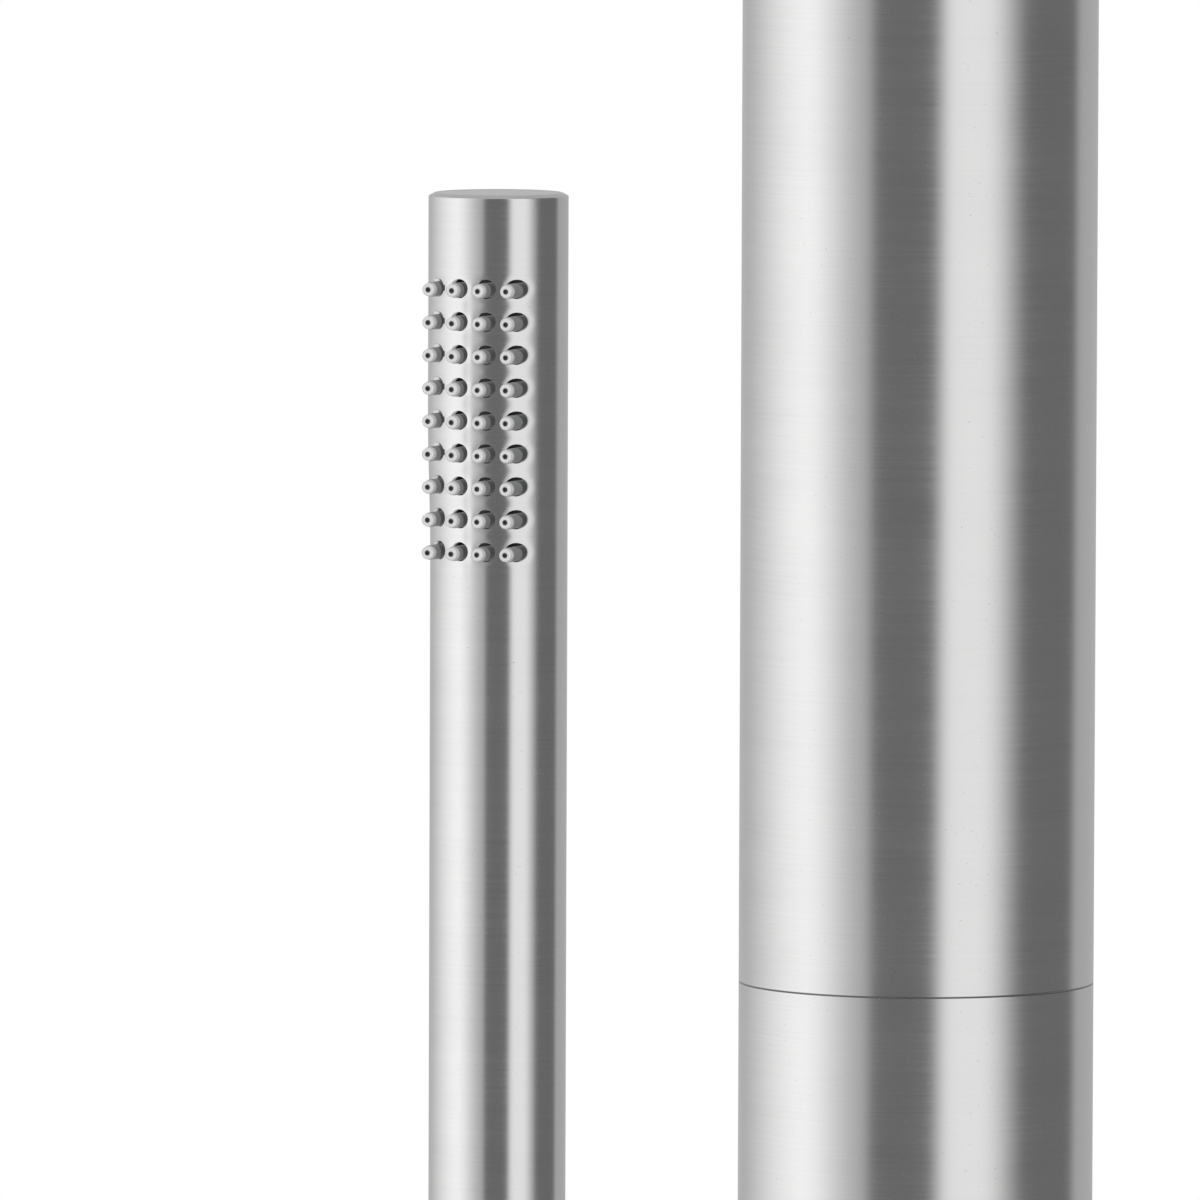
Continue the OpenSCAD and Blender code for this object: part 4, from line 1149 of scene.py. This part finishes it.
@dataclass
class CheckSprings:
    """The coil springs behind the two check poppets, wound at one length; the real ones shorten as the
    water pushes the poppets open.
    """

    wire: float = 0.25 * MM
    coil: float = 2.0 * MM
    turns: int = 5
    steps: int = 20
    sides: int = 10
    fixed_end: float = -9.425 * MM
    travel: float = 2.5 * MM

    def build(self) -> None:
        """Winds and dresses both springs."""
        for side in ("hot", "cold"):
            node, joint = f"{side}_check_spring", f"{side}_check_open"
            low, high = (Vector(corner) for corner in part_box(node))
            spring = self.wind(f"{side}_check_coil", (low.x + high.x) / 2, low.y, high.y)
            Shop.finish(spring, "column", "brushed_steel", FRONT_STEEL, node)
            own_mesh(spring)

    def wind(self, name: str, x: float, low: float, high: float) -> Piece:
        """Winds one spring round an axis along Y.

        Args:
            name: the spring's name.
            x: its axis.
            low: its end in the water block.
            high: its end on the poppet.

        Returns:
            The spring.
        """
        Shop.clear_selection()
        start = (x, low + self.wire, 0.0)
        bpy.ops.mesh.primitive_circle_add(vertices=self.sides, radius=self.wire, location=start)
        spring = bpy.context.object
        spring.name = name
        bpy.ops.object.mode_set(mode="EDIT")
        bpy.ops.mesh.select_all(action="SELECT")
        bpy.ops.transform.translate(value=(self.coil, 0, 0))
        bpy.ops.object.mode_set(mode="OBJECT")
        wound = spring.modifiers.new("coil", "SCREW")
        wound.axis = "Y"
        wound.angle = math.tau
        wound.screw_offset = (high - low - 2 * self.wire) / self.turns
        wound.iterations = self.turns
        wound.steps = wound.render_steps = self.steps
        bpy.ops.object.modifier_apply(modifier=wound.name)
        bpy.ops.object.mode_set(mode="EDIT")
        bpy.ops.mesh.select_all(action="SELECT")
        bpy.ops.mesh.remove_doubles(threshold=MERGE)
        bpy.ops.mesh.fill_holes(sides=self.sides)
        Shop.close_edit()
        Shop.settle(spring)
        Shop.smooth(spring, angle=50.0)
        return spring


@dataclass
class FrameDressing:
    """Finishes of the CAD nodes that stay."""

    named: tuple[tuple[Finish, tuple[str, ...]], ...] = (
        (COLUMN_STEEL, ("top_cap", "bottom_cap", "joint_sleeve", "riser_pipe")),
        (BATON_STEEL, ("holder_cup",)),
        (SIDE_STEEL, ("holder_arm", "holder_screw")),
        (LEVER_STEEL, ("mixer_lever", "mixer_grub_screw")),
        (DIVERTER_STEEL, ("diverter_collar", "diverter_knob")),
        (DIVERTER_LEVER_STEEL, ("diverter_lever",)),
        (UPPER_STEEL, ("upper_wall_plate", "upper_standoff", "upper_rosette", "upper_standoff_bolt")),
        (ARM_STEEL, ("shower_arm", "arm_collar")),
        (HEAD_STEEL, ("swivel_nut", "head_shell", "head_plate")),
    )
    by_slot: tuple[tuple[str, Finish], ...] = (
        ("brushed_steel", FRONT_STEEL),
        ("brass", BRASS),
        ("black_plastic", BLACK_PLASTIC),
        ("seal_rubber", SEAL_RUBBER),
        ("grey_silicone", SILICONE),
        ("ceramic", CERAMIC),
    )

    def build(self) -> None:
        """Gives each CAD node its finish, by its name or else by its slot."""
        finishes = {name: finish for finish, names in self.named for name in names}
        by_slot = dict(self.by_slot)
        slots = {part["node"]: part["material_slot"] for part in frame["record"]["subparts"]}
        for name, node in frame["nodes"].items():
            finish = finishes.get(name) or by_slot[slots[name]]
            for place in node.material_slots:
                place.material = finish.material()
            log.info("%s: %s", name, finish.name)


@dataclass(frozen=True)
class Card:
    """A soft light or dark card of the studio, by the angle from the camera's side."""

    low: float
    high: float
    soft_low: float
    soft_high: float
    level: float


@dataclass
class Studio:
    """Camera, light and floor."""

    azimuth: float = 23.0
    elevation: float = 4.3
    distance: float = 3.1
    lens: float = 535.0
    roll: float = 0.2
    target: Triple = (-0.0559, -0.0891, 0.1750)
    tent_radius: float = 0.5
    tent_span: Pair = (-0.5, 1.4)
    tent_steps: int = 128
    unmirrored: tuple[tuple[Pair, Pair], ...] = (
        ((-31 * MM, 31 * MM), (-118 * MM, 15 * MM)),
        ((-96 * MM, -62 * MM), (-97 * MM, -63 * MM)),
    )
    shade_light: float = 0.45
    top_place: Triple = (0.5, -1.0, 2.2)
    top_watts: float = 12.0
    top_size: float = 1.2
    key_size: float = 0.7
    key_watts: float = 29.0
    key_azimuth: float = 20.0
    key_elevation: float = 14.0
    key_distance: float = 2.2
    cards: tuple[Card, ...] = (
        Card(-260, -31, 60, 8, 0.36),
        Card(-112, -55, 80, 46, 0.72),
        Card(13, 57, 14, 34, 0.88),
        Card(119, 260, 12, 20, 0.32),
    )
    base: float = 0.18
    floor_centre: Triple = (0.0, -0.2, -0.2)
    floor_radius: float = 1.4
    floor_steps: int = 96
    floor_fade: Pair = (0.55, 1.35)
    floor_glow: float = 0.6
    floor_tones: Pair = (0.88, 0.94)
    floor_grain: float = 60.0

    def camera(self) -> None:
        """Places the camera at the photograph's viewing angle."""
        back = direction(self.azimuth, self.elevation)
        Shop.clear_selection()
        bpy.ops.object.camera_add(location=Vector(self.target) + back * self.distance)
        camera = bpy.context.object
        turn = (-back).to_track_quat("-Z", "Y")
        camera.rotation_euler = turn.to_euler()
        camera.rotation_euler.rotate_axis("Z", math.radians(self.roll))
        camera.data.lens = self.lens
        camera.data.sensor_width = 36.0
        camera.data.clip_start, camera.data.clip_end = 0.1, 50.0
        bpy.context.scene.camera = camera

    def tent(self) -> None:
        """Surrounds the object with soft cards that only its reflections show."""
        low, high = self.tent_span
        Shop.clear_selection()
        bpy.ops.mesh.primitive_cylinder_add(
            vertices=self.tent_steps,
            radius=self.tent_radius,
            depth=high - low,
            end_fill_type="NOTHING",
            location=(*COLUMN_AXIS, (low + high) / 2),
        )
        tent = bpy.context.object
        tent.name = "light_tent"
        Shop.settle(tent)
        material = bpy.data.materials.new("tent_light")
        graph = Graph(material)
        x, y, _ = graph.place()
        back = direction(self.azimuth, self.elevation)
        away = y - COLUMN_AXIS[1]
        ahead = x * back.x + away * back.y
        turn = (away * back.x - x * back.y).math("ARCTAN2", ahead) * math.degrees(1.0)
        level = self.base
        for card in self.cards:
            rise = turn.smooth(card.low - card.soft_low / 2, card.low + card.soft_low / 2)
            fall = turn.smooth(card.high - card.soft_high / 2, card.high + card.soft_high / 2)
            level = (rise - fall) * card.level + level
        light = graph.add("Emission", {"Color": level, "Strength": 1.0})
        graph.add("OutputMaterial", {"Surface": light.outputs[0]})
        tent.data.materials.append(material)
        tent.visible_camera = False
        tent.visible_diffuse = False
        tent.visible_transmission = False
        tent.visible_shadow = False

    def part_mirrors(self) -> None:
        """Keeps the column, what is inside it and the hand shower out of reflections."""
        for piece in bpy.data.objects:
            if piece.type != "MESH":
                continue
            for (left, right), (front, back) in self.unmirrored:
                if all(left < c[0] < right and front < c[1] < back for c in piece.bound_box):
                    piece.visible_glossy = False

    def world(self) -> None:
        """Lights the scene evenly, and shows white where nothing stands."""
        world = bpy.data.worlds.new("studio")
        bpy.context.scene.world = world
        graph = Graph(world)
        path = graph.add("LightPath")
        seen = graph.value(path, "Is Camera Ray")
        seen = seen.math("MAXIMUM", graph.value(path, "Is Glossy Ray"))
        seen = seen.math("MAXIMUM", graph.value(path, "Is Transmission Ray"))
        shown = graph.add("Background", {"Color": (1.0, 1.0, 1.0), "Strength": 1.0})
        light = graph.add("Background", {"Color": (1.0, 1.0, 1.0), "Strength": self.shade_light})
        both = graph.add("MixShader", {0: seen, 1: light.outputs[0], 2: shown.outputs[0]})
        graph.add("OutputWorld", {"Surface": both.outputs[0]})

    def floor(self) -> None:
        """Lays a pale floor that fades into the background."""
        Shop.clear_selection()
        bpy.ops.mesh.primitive_circle_add(
            vertices=self.floor_steps,
            radius=self.floor_radius,
            fill_type="NGON",
            location=self.floor_centre,
        )
        floor = bpy.context.object
        floor.name = "floor"
        Shop.settle(floor)
        material = bpy.data.materials.new("pale_floor")
        graph = Graph(material)
        x, y, _ = graph.place()
        distance = x.distance(y - self.floor_centre[1])
        grain = graph.noise(graph.add("TexCoord").outputs["Object"], self.floor_grain, detail=3.0)
        dark, light = ((tone,) * 3 for tone in self.floor_tones)
        colour = graph.mix(grain, dark, light)
        paint = graph.add("BsdfPrincipled", {"Base Color": colour, "Roughness": 0.7})
        clear = graph.add("BsdfTransparent")
        glow = graph.add("Emission", {"Strength": 1.0})
        lit = graph.value(graph.add("LightPath"), "Is Camera Ray") * self.floor_glow
        pale = graph.add("MixShader", {0: lit, 1: paint.outputs[0], 2: glow.outputs[0]})
        edge = distance.smooth(*self.floor_fade)
        both = graph.add("MixShader", {0: edge, 1: pale.outputs[0], 2: clear.outputs[0]})
        graph.add("OutputMaterial", {"Surface": both.outputs[0]})
        floor.data.materials.append(material)
        floor.visible_glossy = False

    def lamps(self) -> None:
        """Adds a soft lamp above the front for the floor's shadow, and one level with the nozzles."""
        aim = Vector(self.target)
        key = aim + direction(self.key_azimuth, self.key_elevation) * self.key_distance
        top = Vector(self.top_place)
        lamps = ((top, self.top_size, self.top_watts), (key, self.key_size, self.key_watts))
        for place, size, watts in lamps:
            Shop.clear_selection()
            bpy.ops.object.light_add(type="AREA", location=place)
            lamp = bpy.context.object
            lamp.data.shape = "DISK"
            lamp.data.size = size
            lamp.data.energy = watts
            lamp.rotation_euler = (aim - place).to_track_quat("-Z", "Y").to_euler()
            lamp.visible_camera = False
            lamp.visible_glossy = False

    def build(self) -> None:
        """Builds the whole studio."""
        bpy.context.scene.view_settings.view_transform = "Standard"
        self.world()
        self.tent()
        self.floor()
        self.lamps()
        self.part_mirrors()
        self.camera()


def main() -> None:
    """Builds the classes in order."""
    logging.basicConfig(level=logging.INFO, format="%(message)s")
    for part in (FrameDressing(), Column(), Baton(), Threads(), CheckSprings(), Studio()):
        part.build()
        log.info("built %s", type(part).__name__)


if __name__ == "__main__":
    main()
